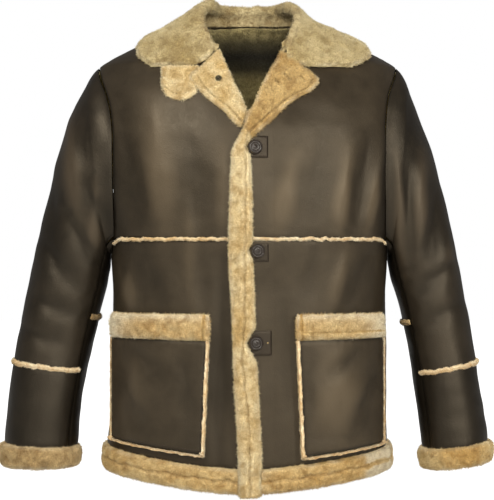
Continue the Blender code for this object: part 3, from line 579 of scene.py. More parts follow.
# %% The torso surface
class Curve:
    """A smooth line through a table's values that never swings past them."""

    def __init__(self, knots, values):
        self.knots = np.array(knots, float)
        self.values = np.array(values, float)
        slope = np.diff(self.values) / np.diff(self.knots)
        before, after = slope[:-1], slope[1:]
        same = before * after > 0
        inner = np.where(same, 2 * before * after / np.where(same, before + after, 1), 0)
        self.slopes = np.concatenate([slope[:1], inner, slope[-1:]])

    def __call__(self, at):
        at = np.clip(at, self.knots[0], self.knots[-1])
        i = np.clip(np.searchsorted(self.knots, at) - 1, 0, len(self.knots) - 2)
        width = self.knots[i + 1] - self.knots[i]
        t = (at - self.knots[i]) / width
        start = (1 + 2 * t) * (1 - t) ** 2 * self.values[i] + t * (1 - t) ** 2 * width * self.slopes[i]
        end = t * t * (3 - 2 * t) * self.values[i + 1] + t * t * (t - 1) * width * self.slopes[i + 1]
        return start + end


def curves(table, columns, knots=None):
    """One Curve for each column of a table, read against its first column or against the knots given."""
    rows = np.array(table, float)
    if knots is not None:
        return {name: Curve(knots, rows[:, i]) for i, name in enumerate(columns)}
    return {name: Curve(rows[:, 0], rows[:, i]) for i, name in enumerate(columns) if i}


TORSO_AT = curves(TORSO, TORSO_COLUMNS)
EDGE_AT = curves(FRONT_EDGES, FRONT_EDGE_COLUMNS)
REACH_AT = curves(ARMHOLE, ARMHOLE_COLUMNS)["reach"]
COLLAR_AT = {1: curves(LEFT_COLLAR, COLLAR_COLUMNS), -1: curves(RIGHT_COLLAR, COLLAR_COLUMNS)}


def soft_step(t):
    t = np.clip(t, 0.0, 1.0)
    return t * t * (3 - 2 * t)


def unit(vectors):
    return vectors / np.linalg.norm(vectors, axis=-1, keepdims=True)


def body(level, angle):
    """The torso's outer face. The angle is 0 at the front, a right angle at the wearer's left side."""
    level, angle = np.broadcast_arrays(np.asarray(level, float), np.asarray(angle, float))
    across, ahead = np.sin(angle), np.cos(angle)
    power = TORSO_AT["power"](level)
    depth = np.where(ahead > 0, TORSO_AT["front"](level), TORSO_AT["back"](level))
    sides = np.abs(across / TORSO_AT["half_width"](level)) ** power
    radius = (sides + np.abs(ahead / depth) ** power) ** (-1 / power)
    dip = HEM_DIP * np.clip(ahead, 0, 1) ** 1.75 * soft_step((-0.45 - level) / 0.22)
    rise = BACK_NECK_RISE * (1 - ahead) / 2 * soft_step((level + 0.05) / 0.06)
    x = TORSO_AT["centre"](level) + radius * across
    return np.stack([x, -radius * ahead, level + dip + rise], axis=-1)


def body_normal(level, angle):
    low, high = TORSO[0][0], TORSO[-1][0]
    around = body(level, angle + 1e-3) - body(level, angle - 1e-3)
    upward = body(np.clip(level + 5e-4, low, high), angle) - body(np.clip(level - 5e-4, low, high), angle)
    return unit(np.cross(around, upward))


def skin(level, angle, lift):
    """The torso's outer face, moved out by a lift."""
    return body(level, angle) + body_normal(level, angle) * np.asarray(lift)[..., None]


def angle_at(level, x, face=1):
    """The angle where the torso is at x, on its front (face 1) or its back (face -1)."""
    half = TORSO_AT["half_width"](level)
    power = TORSO_AT["power"](level)
    depth = np.where(face > 0, TORSO_AT["front"](level), TORSO_AT["back"](level))
    aside = np.clip((x - TORSO_AT["centre"](level)) / half, -1, 1)
    ahead = face * depth * (1 - np.abs(aside) ** power) ** (1 / power)
    return np.arctan2(aside * half, ahead)


def armhole_angle(level, side, face=1):
    """The torso's edge at the armhole, or its side where there is no armhole."""
    inside = (level < ARMHOLE_TOP) & (level > ARMHOLE_BOTTOM)
    reach = np.minimum(REACH_AT(level), TORSO_AT["half_width"](level))
    edge = angle_at(level, TORSO_AT["centre"](level) + side * reach, face)
    return np.where(inside, edge, side * pi / 2)


def overlap(x):
    """How far the wearer's left front stands out where it lies over the right one."""
    return OVERLAP_LIFT * np.clip((OVERLAP_END - x) / (OVERLAP_END - OVERLAP_START), 0, 1)


def band_side(level):
    rows = np.array(BAND_EDGE)
    return np.interp(level, rows[:, 0], rows[:, 1])


def bent_columns(first, last_angle, level, count):
    """Angles from x = first to an angle, with columns where the overlap bends."""
    lead = [first]
    for k, bend in enumerate(OVERLAP_BENDS, start=1):
        lead.append(np.maximum(first + 0.002 * k, bend))
    lead = [angle_at(level, x) for x in lead]
    rest = np.linspace(0, 1, count - len(lead) + 1)[1:]
    tail = [lead[-1] + (last_angle - lead[-1]) * share for share in rest]
    return np.concatenate(lead + tail, axis=1)


def left_front(level, x, lift):
    """A point of the wearer's left front, which lies over the right one, moved out by a lift."""
    level, x = np.broadcast_arrays(np.asarray(level, float), np.asarray(x, float))
    return skin(level, angle_at(level, x), lift + overlap(x))


def right_front(level, x, lift):
    level, x = np.broadcast_arrays(np.asarray(level, float), np.asarray(x, float))
    return skin(level, angle_at(level, x), lift + 0 * x)


def levels_between(low, high, count):
    """Levels evenly spaced along the slope of the torso's side."""
    fine = np.linspace(low, high, 200)
    side = np.stack([TORSO_AT["half_width"](fine), fine], axis=-1)
    length = np.concatenate([[0], np.cumsum(np.linalg.norm(np.diff(side, axis=0), axis=1))])
    return np.interp(np.linspace(0, length[-1], count), length, fine)


def puff(count, edge=0.35):
    """A rounded cross-section, low at both edges, as wool stands on a strip."""
    t = np.linspace(-1, 1, count)
    return edge + (1 - edge) * np.sqrt(np.clip(1 - np.abs(t) ** 2.6, 0, 1))

# %% [markdown]
# ## The sleeves' surface
# A sleeve starts as the outline of the armhole and turns, within a few centimetres, into slanted ovals.
# The two tables differ a little, because the two sleeves of a real coat never hang alike.

# %% The sleeve surface
class Sleeve:
    """A sleeve's outer face: slanted oval rings that start as the armhole's own outline."""

    def __init__(self, table, side):
        rows = np.array(table, float)
        outer = rows[:, :2]
        self.side = side
        self.knots = np.concatenate([[0], np.cumsum(np.linalg.norm(np.diff(outer, axis=0), axis=1))])
        self.at = curves(table, SLEEVE_COLUMNS, self.knots)
        self.outer_z = rows[:, 1]

    def along_at(self, outer_z):
        return float(np.interp(-outer_z, -self.outer_z, self.knots))

    def armhole(self, around):
        middle = (ARMHOLE_TOP + ARMHOLE_BOTTOM) / 2
        level = middle + (ARMHOLE_TOP - ARMHOLE_BOTTOM) / 2 * np.cos(around)
        level = np.clip(level, ARMHOLE_BOTTOM + 1e-6, ARMHOLE_TOP - 1e-6)
        face = np.where(np.sin(around) >= 0, 1, -1)
        points = body(level, armhole_angle(level, self.side, face))
        return points + np.array([self.side * 3.6 * GAP, 0.0, 0.0])

    def __call__(self, along, around):
        along, around = np.broadcast_arrays(np.asarray(along, float), np.asarray(around, float))
        c, s = np.cos(around), np.sin(around)
        radius = (np.abs(c) ** SLEEVE_POWER + np.abs(s) ** SLEEVE_POWER) ** (-1 / SLEEVE_POWER)
        share = (1 + radius * c) / 2
        x = self.at["inner_x"](along) + (self.at["outer_x"](along) - self.at["inner_x"](along)) * share
        z = self.at["inner_z"](along) + (self.at["outer_z"](along) - self.at["inner_z"](along)) * share
        y = self.at["centre_y"](along) - self.at["half_depth"](along) * radius * s
        oval = np.stack([x, y, z], axis=-1)
        weight = (1 - soft_step(along / SLEEVE_BLEND))[..., None] ** 1.5
        return oval + (self.armhole(around) - oval) * weight

    def lifted(self, along, around, lift):
        top = self.knots[-1]
        down = self(np.clip(along + 1e-3, 0, top), around) - self(np.clip(along - 1e-3, 0, top), around)
        turn = self(along, around + 1e-3) - self(along, around - 1e-3)
        outward = unit(np.cross(down, turn)) * -self.side
        return self(along, around) + outward * np.asarray(lift)[..., None]


SLEEVES = {"left": Sleeve(LEFT_SLEEVE, 1), "right": Sleeve(RIGHT_SLEEVE, -1)}


def neck_path(side):
    """The neckline's (level, angle) from the front end to the middle of the back, with its own lengths."""
    name = "left" if side > 0 else "right"
    front = np.linspace(NOTCH_LEVEL, NECK_LEVEL, 40)
    angles = angle_at(front, EDGE_AT[name](front))
    rear = np.linspace(side * pi / 2, side * pi, 40)[1:]
    level = np.concatenate([front, NECK_LEVEL + 0 * rear])
    angle = np.concatenate([angles, rear])
    points = body(level, angle)
    length = np.concatenate([[0], np.cumsum(np.linalg.norm(np.diff(points, axis=0), axis=1))])
    return level, angle, length / length[-1]

# %% [markdown]
# ## Skins as walls
# Every piece is a wall between two grids of points: its outer face and its inner face. `wall` joins
# them with a rim, so the piece is closed, and writes a UV map called `cut` in metres, as the skin would
# lie flat on the cutting table. It also marks where wool may grow, in an attribute called `pile`, and
# the painted shade of seams, folds and grooves, in `shade`, where a value below zero is a painted
# highlight.

# %% Making a wall
made_pieces = {}


def lengths(grid, axis):
    """How far each point lies along its row (axis 1) or its column (axis 0), in metres."""
    steps = np.linalg.norm(np.diff(grid, axis=axis), axis=-1)
    start = np.zeros_like(np.take(steps, [0], axis=axis))
    return np.concatenate([start, np.cumsum(steps, axis=axis)], axis=axis)


def mesh_object(name, points, faces, finishes, sharp):
    """A smooth object from points and faces, with edges sharper than an angle kept sharp."""
    mesh = bpy.data.meshes.new(name)
    mesh.from_pydata(np.asarray(points).tolist(), [], faces)
    for finish in finishes:
        mesh.materials.append(finish)
    mesh.shade_smooth()
    mesh.set_sharp_from_angle(angle=sharp)
    made = bpy.data.objects.new(name, mesh)
    scene.collection.objects.link(made)
    return made


def rim_distance(grid, ring=False):
    """How far each point lies from the nearest edge of its grid."""
    over, down = lengths(grid, 1), lengths(grid, 0)
    away = np.minimum(down, down[-1:] - down)
    if ring:
        return away
    return np.minimum(away, np.minimum(over, over[:, -1:] - over))


def grid_normals(outer, inner):
    """The grid's own normals, pointing from the inner face to the outer one."""
    normals = unit(np.cross(np.gradient(outer, axis=0), np.gradient(outer, axis=1)) + 1e-15)
    outward = np.einsum("ijk,ijk->ij", normals, outer - inner)
    return normals * (1 if np.median(outward) > 0 else -1)


def outward(points, faces):
    """The faces, turned round where they would bound a negative volume."""
    corners = points - points.mean(axis=0)
    fans = [(face[0], face[i], face[i + 1]) for face in faces for i in range(1, len(face) - 1)]
    first, second, third = corners[np.array(fans)].transpose(1, 0, 2)
    volume = np.einsum("ij,ij->i", first, np.cross(second, third)).sum()
    return [face[::-1] for face in faces] if volume < 0 else faces


def wall_faces(rows, columns, ring):
    """The faces of a wall, and how many lie in one grid: the outer grid's, the inner one's, the rim's."""
    count = rows * columns
    at = np.arange(count).reshape(rows, columns)
    if ring:
        at = np.concatenate([at, at[:, :1]], axis=1)
    quads = np.stack([at[:-1, :-1], at[:-1, 1:], at[1:, 1:], at[1:, :-1]], axis=-1).reshape(-1, 4)
    rims = []
    for row, turn in ((at[0], 1), (at[-1], -1)):
        rims.append(np.stack([row[1:], row[:-1], row[:-1] + count, row[1:] + count], axis=-1)[:, ::turn])
    if not ring:
        for column, turn in ((at[:, 0], 1), (at[:, -1], -1)):
            edge = [column[:-1], column[1:], column[1:] + count, column[:-1] + count]
            rims.append(np.stack(edge, axis=-1)[:, ::turn])
    return np.concatenate([quads, quads[:, ::-1] + count, *rims]), len(quads)


RIM_PILE = 0.8


def wall(
    name, outer, inner, finishes, ring=False, pile=None, inside_pile=None, shade=0.0, inside_shade=0.0
):
    """A closed piece between two grids, with its flat chart, its pile and its painted shade and highlight."""
    rows, columns = outer.shape[:2]
    faces, side = wall_faces(rows, columns, ring)
    points = np.concatenate([outer.reshape(-1, 3), inner.reshape(-1, 3)])
    made = mesh_object(name, points, outward(points, faces.tolist()), finishes, radians(60))
    mesh = made.data
    kinds = np.zeros(len(faces), np.int32)
    kinds[side : 2 * side] = 1
    mesh.polygons.foreach_set("material_index", np.minimum(kinds, len(finishes) - 1))
    flat = np.stack([lengths(outer, 1), lengths(outer, 0)], axis=-1).reshape(-1, 2)
    flat = np.concatenate([flat, flat]).astype(np.float32)
    chart = mesh.uv_layers.new(name="cut")
    loops = np.empty(len(mesh.loops), np.int32)
    mesh.loops.foreach_get("vertex_index", loops)
    chart.data.foreach_set("uv", flat[loops].ravel())
    grows = mesh.attributes.new("pile", "FLOAT", "FACE")
    amount = np.zeros(len(faces), np.float32)
    last = columns if ring else columns - 1
    if pile is not None:
        amount[:side] = np.broadcast_to(pile, (rows, columns))[:-1, :last].reshape(-1)
        amount[2 * side :] = RIM_PILE
    if inside_pile is not None:
        amount[side : 2 * side] = inside_pile[:-1, :last].reshape(-1)
    grows.data.foreach_set("value", amount)
    # The `shade` attribute: painted shade where above zero, painted highlight where below.
    dark = mesh.attributes.new("shade", "FLOAT", "POINT")
    depth = np.zeros((2, rows, columns), np.float32)
    depth[0] = np.clip(shade, -1, 1)
    depth[1] = np.clip(inside_shade, -1, 1)
    dark.data.foreach_set("value", depth.ravel())
    return made


def cut_size(grid, ring=False):
    """The width, length and area of the flat piece that would be cut for this grid."""
    closed = np.concatenate([grid, grid[:, :1]], axis=1) if ring else grid
    first = closed[1:, 1:] - closed[:-1, :-1]
    second = closed[1:, :-1] - closed[:-1, 1:]
    area = float(np.linalg.norm(np.cross(first, second), axis=-1).sum() / 2)
    width = float(lengths(closed, 1)[:, -1].max())
    length = float(lengths(closed, 0)[-1].max())
    return width, length, min(area, width * length)


def keep(made, node=None):
    """Fixes a finished piece to the coat, and hides the solid that it stands for, if there is one."""
    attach(made, "root")
    if node:
        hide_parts(node)


def keep_sheet(made, node, cut):
    """Keeps a piece of skin or wool, with the flat size that it is cut to."""
    keep(made, node)
    made_pieces[node] = (made, cut)
    print(node, "cut", [round(number, 3) for number in cut])


WAVES = 9


def ripple(points, wavelength, seed):
    """A smooth random relief from about -1 to 1, the same on each run: a sum of slanting sine waves."""
    dice = np.random.default_rng(seed)
    total = np.zeros(points.shape[:-1])
    for wave in range(WAVES):
        heading = unit(dice.normal(size=3)) * 2 * pi / (wavelength * dice.uniform(0.7, 1.5))
        total += np.sin(points @ heading + dice.uniform(0, 2 * pi))
    return total / np.sqrt(WAVES / 2) * 0.6


# %% [markdown]
# ## Creases and seams in the leather
# Thick sheepskin doesn't fold sharply. It has long soft troughs where the cloth is pushed together, and
# a slight pucker where a seam holds it. The troughs are listed in a table, by where they start
# and end as seen from the front. Along each sewn edge the skin dips into the seam.

# %% Relief of the leather
# Each crease runs from one x and z to another, with its width and its depth. A negative depth is a ridge.
FRONT_CREASES = (
    (-0.215, -0.300, -0.150, -0.445, 0.016, 0.0024),
    (-0.165, -0.350, -0.128, -0.450, 0.012, 0.0022),
    (-0.186, -0.365, -0.186, -0.450, 0.010, -0.0030),
    (-0.080, -0.345, -0.066, -0.450, 0.014, 0.0020),
    (-0.205, -0.120, -0.165, -0.330, 0.018, 0.0030),
    (-0.150, -0.110, -0.130, -0.320, 0.024, -0.0032),
    (-0.095, -0.150, -0.070, -0.320, 0.022, 0.0026),
    (-0.040, -0.180, -0.030, -0.330, 0.018, -0.0020),
    (0.222, -0.180, 0.190, -0.325, 0.011, -0.0045),
    (0.195, -0.170, 0.168, -0.325, 0.014, 0.0036),
    (0.160, -0.200, 0.143, -0.325, 0.014, -0.0040),
    (0.125, -0.150, 0.100, -0.325, 0.018, 0.0030),
    (0.075, -0.205, 0.046, -0.325, 0.016, -0.0034),
    (0.200, -0.350, 0.150, -0.450, 0.014, 0.0026),
    (0.158, -0.350, 0.135, -0.450, 0.012, -0.0026),
    (0.110, -0.345, 0.090, -0.440, 0.013, 0.0022),
    (-0.040, -0.370, -0.046, -0.690, 0.015, 0.0046),
    (-0.095, -0.250, -0.080, -0.450, 0.012, -0.0020),
    (0.055, -0.420, 0.066, -0.600, 0.012, 0.0020),
)


def troughs(points, table):
    """How deep each point lies in the soft creases of a table, as seen from the front."""
    depth = np.zeros(points.shape[:-1])
    for x_from, z_from, x_to, z_to, width, deep in table:
        start, end = np.array([x_from, z_from]), np.array([x_to, z_to])
        line = end - start
        flat = points[..., [0, 2]] - start
        share = flat @ line / (line @ line)
        nearest = np.clip(share, 0, 1)[..., None] * line
        bend = 0.25 * width * np.sin(7 * share)
        away = np.linalg.norm(flat - nearest, axis=-1) + bend * (share > 0) * (share < 1)
        depth += deep * np.exp(-((away / width) ** 2)) * np.sin(pi * np.clip(share, 0.04, 0.96)) ** 0.5
    return depth


PUCKER_PITCH = 0.013
SEAM_REACH = 0.0030
ARMPIT_REACH = 0.012


def seam_dip(grid, depth=0.0007, reach=0.0035, pucker=0.0004):
    """The dip of the skin into the seams at its edges, with the small puckers beside them."""
    over, down = lengths(grid, 1), lengths(grid, 0)
    edges = [(down, over), (down[-1:] - down, over), (over, down), (over[:, -1:] - over, down)]
    total = np.zeros(grid.shape[:2])
    for away, along in edges:
        total += depth * np.exp(-((away / reach) ** 2))
        gathers = np.sin(2 * pi * along / PUCKER_PITCH + 2.0 * np.sin(along / 0.031))
        total += pucker * np.exp(-away / 0.010) * (1 + gathers) / 2
    return total


def seam_shade(grid):
    """How much painted shade lies on the skin beside its seams, from 0 to 1."""
    return np.exp(-((rim_distance(grid) / SEAM_REACH) ** 2))


def armpit_shade(points):
    """How much painted shade lies in the deep fold between the body and each sleeve, from 0 to 1."""
    away = np.abs(np.abs(points[..., 0]) - np.interp(points[..., 2], *np.array(ARMHOLE).T))
    height = points[..., 2]
    fold = np.clip((-0.13 - height) / 0.10, 0, 1) * np.clip((height - ARMHOLE_BOTTOM + 0.05) / 0.05, 0, 1)
    return 0.95 * np.exp(-((away / (ARMPIT_REACH * (0.35 + 0.65 * fold))) ** 2)) * fold


def leather_relief(outer, inner, creases=(), seed=1, swell=0.0012):
    """The outer grid of a leather piece, with its seams, its creases and a slight unevenness."""
    height = swell * ripple(outer, 0.13, seed) + 0.35 * swell * ripple(outer, 0.045, seed + 40)
    over = lengths(outer, 1)
    height = height * soft_step(np.minimum(over, over[:, -1:] - over) / 0.02)
    height -= troughs(outer, creases) + seam_dip(outer)
    return outer + grid_normals(outer, inner) * height[..., None]


# %% Shares along a panel, closer together at its edges
def shares(count, close=(0.0035, 0.008, 0.014, 0.022, 0.034)):
    """Shares from 0 to 1, evenly spaced, with more of them near both ends."""
    close = np.array(close)
    return np.unique(np.concatenate([np.linspace(0, 1, count), close, 1 - close]))


def fine_levels(low, high, count):
    """Levels for a panel, closer together at its ends and at the ends of the armhole."""
    close = [
        end + side * step
        for end in (ARMHOLE_TOP, ARMHOLE_BOTTOM)
        for side in (-1, 0, 1)
        for step in (0.0004, 0.001, 0.002, 0.0035, 0.006, 0.010)
    ]
    even = levels_between(low, high, count)
    ends = [low + 0.0014, low + 0.004, low + 0.008, high - 0.0014, high - 0.004, high - 0.008]
    levels = np.unique(np.round([*even, *close, *ends], 5))
    return levels[(levels >= low) & (levels <= high)]


# %% [markdown]
# ## The body panels
# Each front is cut in two at the chest, and the back is one piece. Their outer faces follow the torso
# surface. The wearer's left front lies over the right one, so it stands out by the thickness of a skin.
# Inside, the wool is left on, so the inner face has the lining's finish and some relief of its own.

# %% Fronts and back
# Each level inside the back, and how dark the wool is there, as the collar and the fronts shade it.
INSIDE_SHADE = (
    (-0.300, 0.70),
    (-0.120, 0.35),
    (-0.062, 0.22),
    (-0.044, 0.85),
    (-0.026, 1.00),
    (-0.012, 0.80),
    (0.000, 0.40),
    (0.018, 0.00),
)


def lining_relief(inner, outer, relief, seed):
    """The inner grid, pressed in with the outer face and with the wool's own lumps."""
    height = 0.0012 * ripple(inner, 0.022, seed) + 0.0006 * ripple(inner, 0.009, seed + 7)
    return inner + (relief - outer) - grid_normals(outer, inner) * (height - 0.0010)[..., None] * 0.8


def leather_shade(outer, creases):
    """Painted shade in the seams, in the armpits and in the troughs, and a painted highlight, partly wear
    from rubbing, along each ridge.
    """
    folds = troughs(outer, creases) / 0.004
    ridge_wear_and_highlight = np.clip(-folds, 0, 1) * (1 - np.clip(seam_shade(outer) + armpit_shade(outer), 0, 1))
    return seam_shade(outer) + armpit_shade(outer) + 0.75 * np.clip(folds, 0, 1) - ridge_wear_and_highlight


for side, name in ((1, "left"), (-1, "right")):
    for part, low, high, rows in (
        ("lower", HEM_TOP + GAP, CHEST_LEVEL - GAP / 2, 70),
        ("upper", CHEST_LEVEL + GAP / 2, NECK_LEVEL, 96),
    ):
        level = fine_levels(low, high, rows)[:, None]
        outer_edge = armhole_angle(level, side)
        if side > 0:
            angle = bent_columns(EDGE_AT[name](level), outer_edge, level, 72)
        else:
            inner_edge = angle_at(level, EDGE_AT[name](level))
            angle = inner_edge + (outer_edge - inner_edge) * shares(70)[None, :]
        x = body(level, angle)[..., 0]
        stand = overlap(x) if side > 0 else 0 * x
        outer, inner = (skin(level + 0 * angle, angle, stand + lift) for lift in (0.0, -WALL))
        cut = cut_size(outer)
        seed = {"lower": 3, "upper": 8}[part] + side
        relief = leather_relief(outer, inner, FRONT_CREASES, seed)
        node = f"front_{name}_{part}"
        inside = lining_relief(inner, outer, relief, seed)
        shade = leather_shade(outer, FRONT_CREASES)
        made = wall(node, relief, inside, (leather, lining), shade=shade)
        keep_sheet(made, node, cut)

level = fine_levels(HEM_TOP + GAP, NECK_LEVEL, 130)[:, None]
seam = GAP / TORSO_AT["half_width"](level)
left = armhole_angle(level, 1, -1) + seam
right = armhole_angle(level, -1, -1) + 2 * pi - seam
angle = left + (right - left) * shares(120)[None, :]
outer, inner = (skin(level + 0 * angle, angle, lift + 0 * angle) for lift in (0.0, -WALL))
cut = cut_size(outer)
neck_wool = np.where((level > -0.22) & (np.abs(angle - pi) < 0.95), 1.0, 0.0)
BACK_CREASES = (
    (-0.150, -0.130, -0.060, -0.300, 0.030, 0.0022),
    (0.160, -0.140, 0.080, -0.330, 0.028, 0.0024),
    (-0.190, -0.380, -0.090, -0.470, 0.020, 0.0022),
    (0.190, -0.390, 0.070, -0.450, 0.020, 0.0020),
    (-0.040, -0.420, 0.060, -0.435, 0.022, 0.0016),
    (-0.120, -0.520, -0.135, -0.660, 0.026, 0.0026),
    (0.110, -0.510, 0.140, -0.660, 0.026, 0.0026),
)
relief = leather_relief(outer, inner, BACK_CREASES, 21)
made = wall(
    "back",
    relief,
    lining_relief(inner, outer, relief, 22),
    (leather, lining),
    inside_pile=neck_wool,
    shade=leather_shade(outer, BACK_CREASES),
    inside_shade=np.interp(level, *np.array(INSIDE_SHADE).T),
)
keep_sheet(made, "back", cut)

# %% [markdown]
# ## The sleeves
# Each sleeve has a top piece and an under piece, and both are cut across above the wrist or below the
# elbow. The elbow's folds lie across the sleeve and fade out towards its back.

# %% Sleeve panels
SLEEVE_CREASES = {
    "right": (
        (-0.262, -0.250, -0.215, -0.330, 0.011, 0.0034),
        (-0.240, -0.240, -0.250, -0.385, 0.010, -0.0036),
        (-0.290, -0.300, -0.235, -0.395, 0.012, 0.0045),
        (-0.292, -0.120, -0.272, -0.300, 0.014, -0.0036),
        (-0.318, -0.240, -0.312, -0.380, 0.016, 0.0040),
        (-0.345, -0.330, -0.262, -0.430, 0.013, 0.0036),
        (-0.350, -0.430, -0.270, -0.465, 0.012, 0.0034),
        (-0.372, -0.480, -0.290, -0.510, 0.012, 0.0028),
        (-0.262, -0.090, -0.255, -0.230, 0.016, 0.0028),
    ),
    "left": (
        (0.258, -0.220, 0.262, -0.385, 0.010, 0.0040),
        (0.237, -0.200, 0.256, -0.395, 0.010, -0.0040),
        (0.283, -0.200, 0.272, -0.360, 0.014, -0.0042),
        (0.306, -0.250, 0.300, -0.395, 0.016, 0.0044),
        (0.322, -0.330, 0.330, -0.395, 0.012, -0.0030),
        (0.340, -0.370, 0.268, -0.435, 0.013, 0.0040),
        (0.352, -0.440, 0.275, -0.480, 0.012, 0.0032),
        (0.262, -0.090, 0.256, -0.190, 0.016, 0.0028),
    ),
}
for name, sleeve in SLEEVES.items():
    cuff = sleeve.knots[-1 - CUFF_ROWS]
    for part, first, last, cross_z, columns in (
        ("top", BACK_SEAM, FRONT_SEAM, TOP_CROSS_Z, 72),
        ("under", FRONT_SEAM, BACK_SEAM + 2 * pi, UNDER_CROSS_Z, 36),
    ):
        cross = sleeve.along_at(cross_z)
        for half, start, end, rows in (
            ("upper", 0.0, cross - GAP / 2, 110),
            ("lower", cross + GAP / 2, cuff - GAP, 36),
        ):
            crowding = 1.35 if half == "upper" else 1.0
            along = start + (end - start) * shares(rows, (0.004, 0.01, 0.02))[:, None] ** crowding
            seam = GAP / 0.06 * (1.5 + 5 * np.exp(-along / 0.04))
            around = first + seam + (last - first - 2 * seam) * shares(columns)[None, :]
            along, turn = np.broadcast_arrays(along, around)
            outer, inner = (sleeve.lifted(along, turn, lift + 0 * turn) for lift in (0.0, -WALL))
            cut = cut_size(outer)
            seed = 31 + 5 * sleeve.side + len(part) + rows
            relief = leather_relief(outer, inner, SLEEVE_CREASES[name], seed, 0.0010)
            node = f"sleeve_{name}_{part}_{half}"
            inside = lining_relief(inner, outer, relief, seed)
            shade = leather_shade(outer, SLEEVE_CREASES[name])
            # Painted shade on the under pieces and on the lower halves of the sleeves.
            shade = shade + 0.45 * (part == "under") + 0.62 * (half == "lower")
            made = wall(node, relief, inside, (shaded_sleeve_leather, lining), shade=shade)
            keep_sheet(made, node, cut)

# %% [markdown]
# ## The wool's ground
# Each strip of wool has a ground: the strip's own form, sunk by the length of the pile, with soft lumps
# where the fibres clump together. Lines of stitching sink into it as grooves. The tufts that we grow on
# it later bring it back to its full height.

# %% Relief of the wool
PILE = 0.0030
LUMP = 0.0012
wool_of = {}


FULL_GROOVE = 0.0022
PALE_RIM = 0.005
LEAST_WALL = 0.0012


def groove(away, depth=0.0030, width=0.0028):
    """How deep the wool is pressed beside a line of stitching, at a distance from it."""
    return depth * np.exp(-((away / width) ** 2))


RAGGED = 0.0011


def ragged(grid, seed, ring=False):
    """The grid with its edges pushed in and out along themselves, as a shorn edge is uneven."""
    grid = grid.copy()
    for edge, inside in ((grid[0], grid[2]), (grid[-1], grid[-3])):
        edge += unit(edge - inside) * (RAGGED * ripple(edge, 0.007, seed + 21))[:, None]
    if not ring:
        for edge, inside in ((grid[:, 0], grid[:, 2]), (grid[:, -1], grid[:, -3])):
            edge += unit(edge - inside) * (RAGGED * ripple(edge, 0.007, seed + 22))[:, None]
    return grid


def fluff(name, outer, inner, seed, ring=False, grooves=0.0, wool="wool", lump=LUMP, painted_highlight=0.0):
    """A finished piece of wool between two grids, with lumps and grooves in its outer face, painted shade in
    its grooves and a painted highlight along its rims.
    """
    cut = cut_size(outer, ring)
    lumps = ripple(outer, 0.016, seed) + 0.45 * ripple(outer, 0.0065, seed + 3)
    height = lump * lumps - grooves - PILE
    thick = np.linalg.norm(outer - inner, axis=-1)
    height = np.maximum(height, LEAST_WALL - thick)
    relief = outer + grid_normals(outer, inner) * height[..., None]
    sunk = np.clip(grooves / FULL_GROOVE, 0, 1) + 0 * thick
    relief = ragged(relief, seed, ring)
    # Painted highlight along the rims, and painted shade where the face is sunk by a groove.
    rim_highlight = 0.5 * np.exp(-((rim_distance(outer, ring) / PALE_RIM) ** 2))
    painted_highlight = painted_highlight + rim_highlight * (0.5 + 0.5 * ripple(outer, 0.03, seed + 9))
    shade = np.where(sunk > 0.1, 0.7 * sunk, -painted_highlight)
    made = wall(name, relief, inner, (grounds[wool],), ring=ring, pile=1 - 0.85 * sunk, shade=shade)
    wool_of[name] = wool
    keep_sheet(made, name, cut)


# %% [markdown]
# ## Raw welts
# At the chest and on the sleeves the two skins are lapped and left raw, so the cut edge shows as a pale
# wavy line of wool about 7 mm wide.

# %% Chest and sleeve welts
def wavy(at, seed, size=0.0009):
    """A wandering line: three sine waves, from its length in metres."""
    waves = np.sin(210 * at + seed) + 0.7 * np.sin(467 * at + 2 * seed) + 0.5 * np.sin(95 * at + 3 * seed)
    return size * waves / 1.6


# Where the chest welts are kinked on each side, as a share of their length, and by how much.
KINKS = {1: ((0.36, 0.0020), (0.43, -0.0024), (0.47, 0.0016)), -1: ((0.42, 0.0012),)}


def kink(share, side):
    """Short notches where the raw edge has curled."""
    total = 0 * share
    for middle, size in KINKS[side]:
        total = total + size * np.exp(-(((share - middle) / 0.016) ** 2))
    return total


WELT_LUMP = 0.0004
upper_rim = 0.0012 * (np.linspace(0, 1, 9)[:, None] > 0.8)
for side, name in ((1, "left"), (-1, "right")):
    level = CHEST_LEVEL + 0.36 * RAW_EDGE * np.linspace(-1, 1, 9)[:, None]
    end = armhole_angle(level, side) - side * radians(1.2)
    if side > 0:
        angle = bent_columns(np.maximum(band_side(level) + 0.0008, OVERLAP_START), end, level, 150)
    else:
        start = angle_at(level, EDGE_AT["left"](level) - 0.0015)
        angle = start + (end - start) * np.linspace(0, 1, 150)[None, :]
    share = np.linspace(0, 1, angle.shape[1])[None, :]
    drop = 0.006 * np.clip((share - 0.93) / 0.07, 0, 1)
    level = level - drop + wavy(0.28 * share, side) + kink(share, side)
    x = body(level, angle)[..., 0]
    stand = overlap(x) if side > 0 else 0 * x
    outer = skin(level, angle, stand + RAW_HEIGHT * puff(9, 0.75)[:, None])
    inner = skin(level, angle, stand + GAP)
    outer = outer + 0.0018 * body_normal(level, angle)
    node = f"welt_{name}_chest"
    fluff(node, outer, inner, 51 + side, wool="welt", lump=WELT_LUMP, grooves=upper_rim)

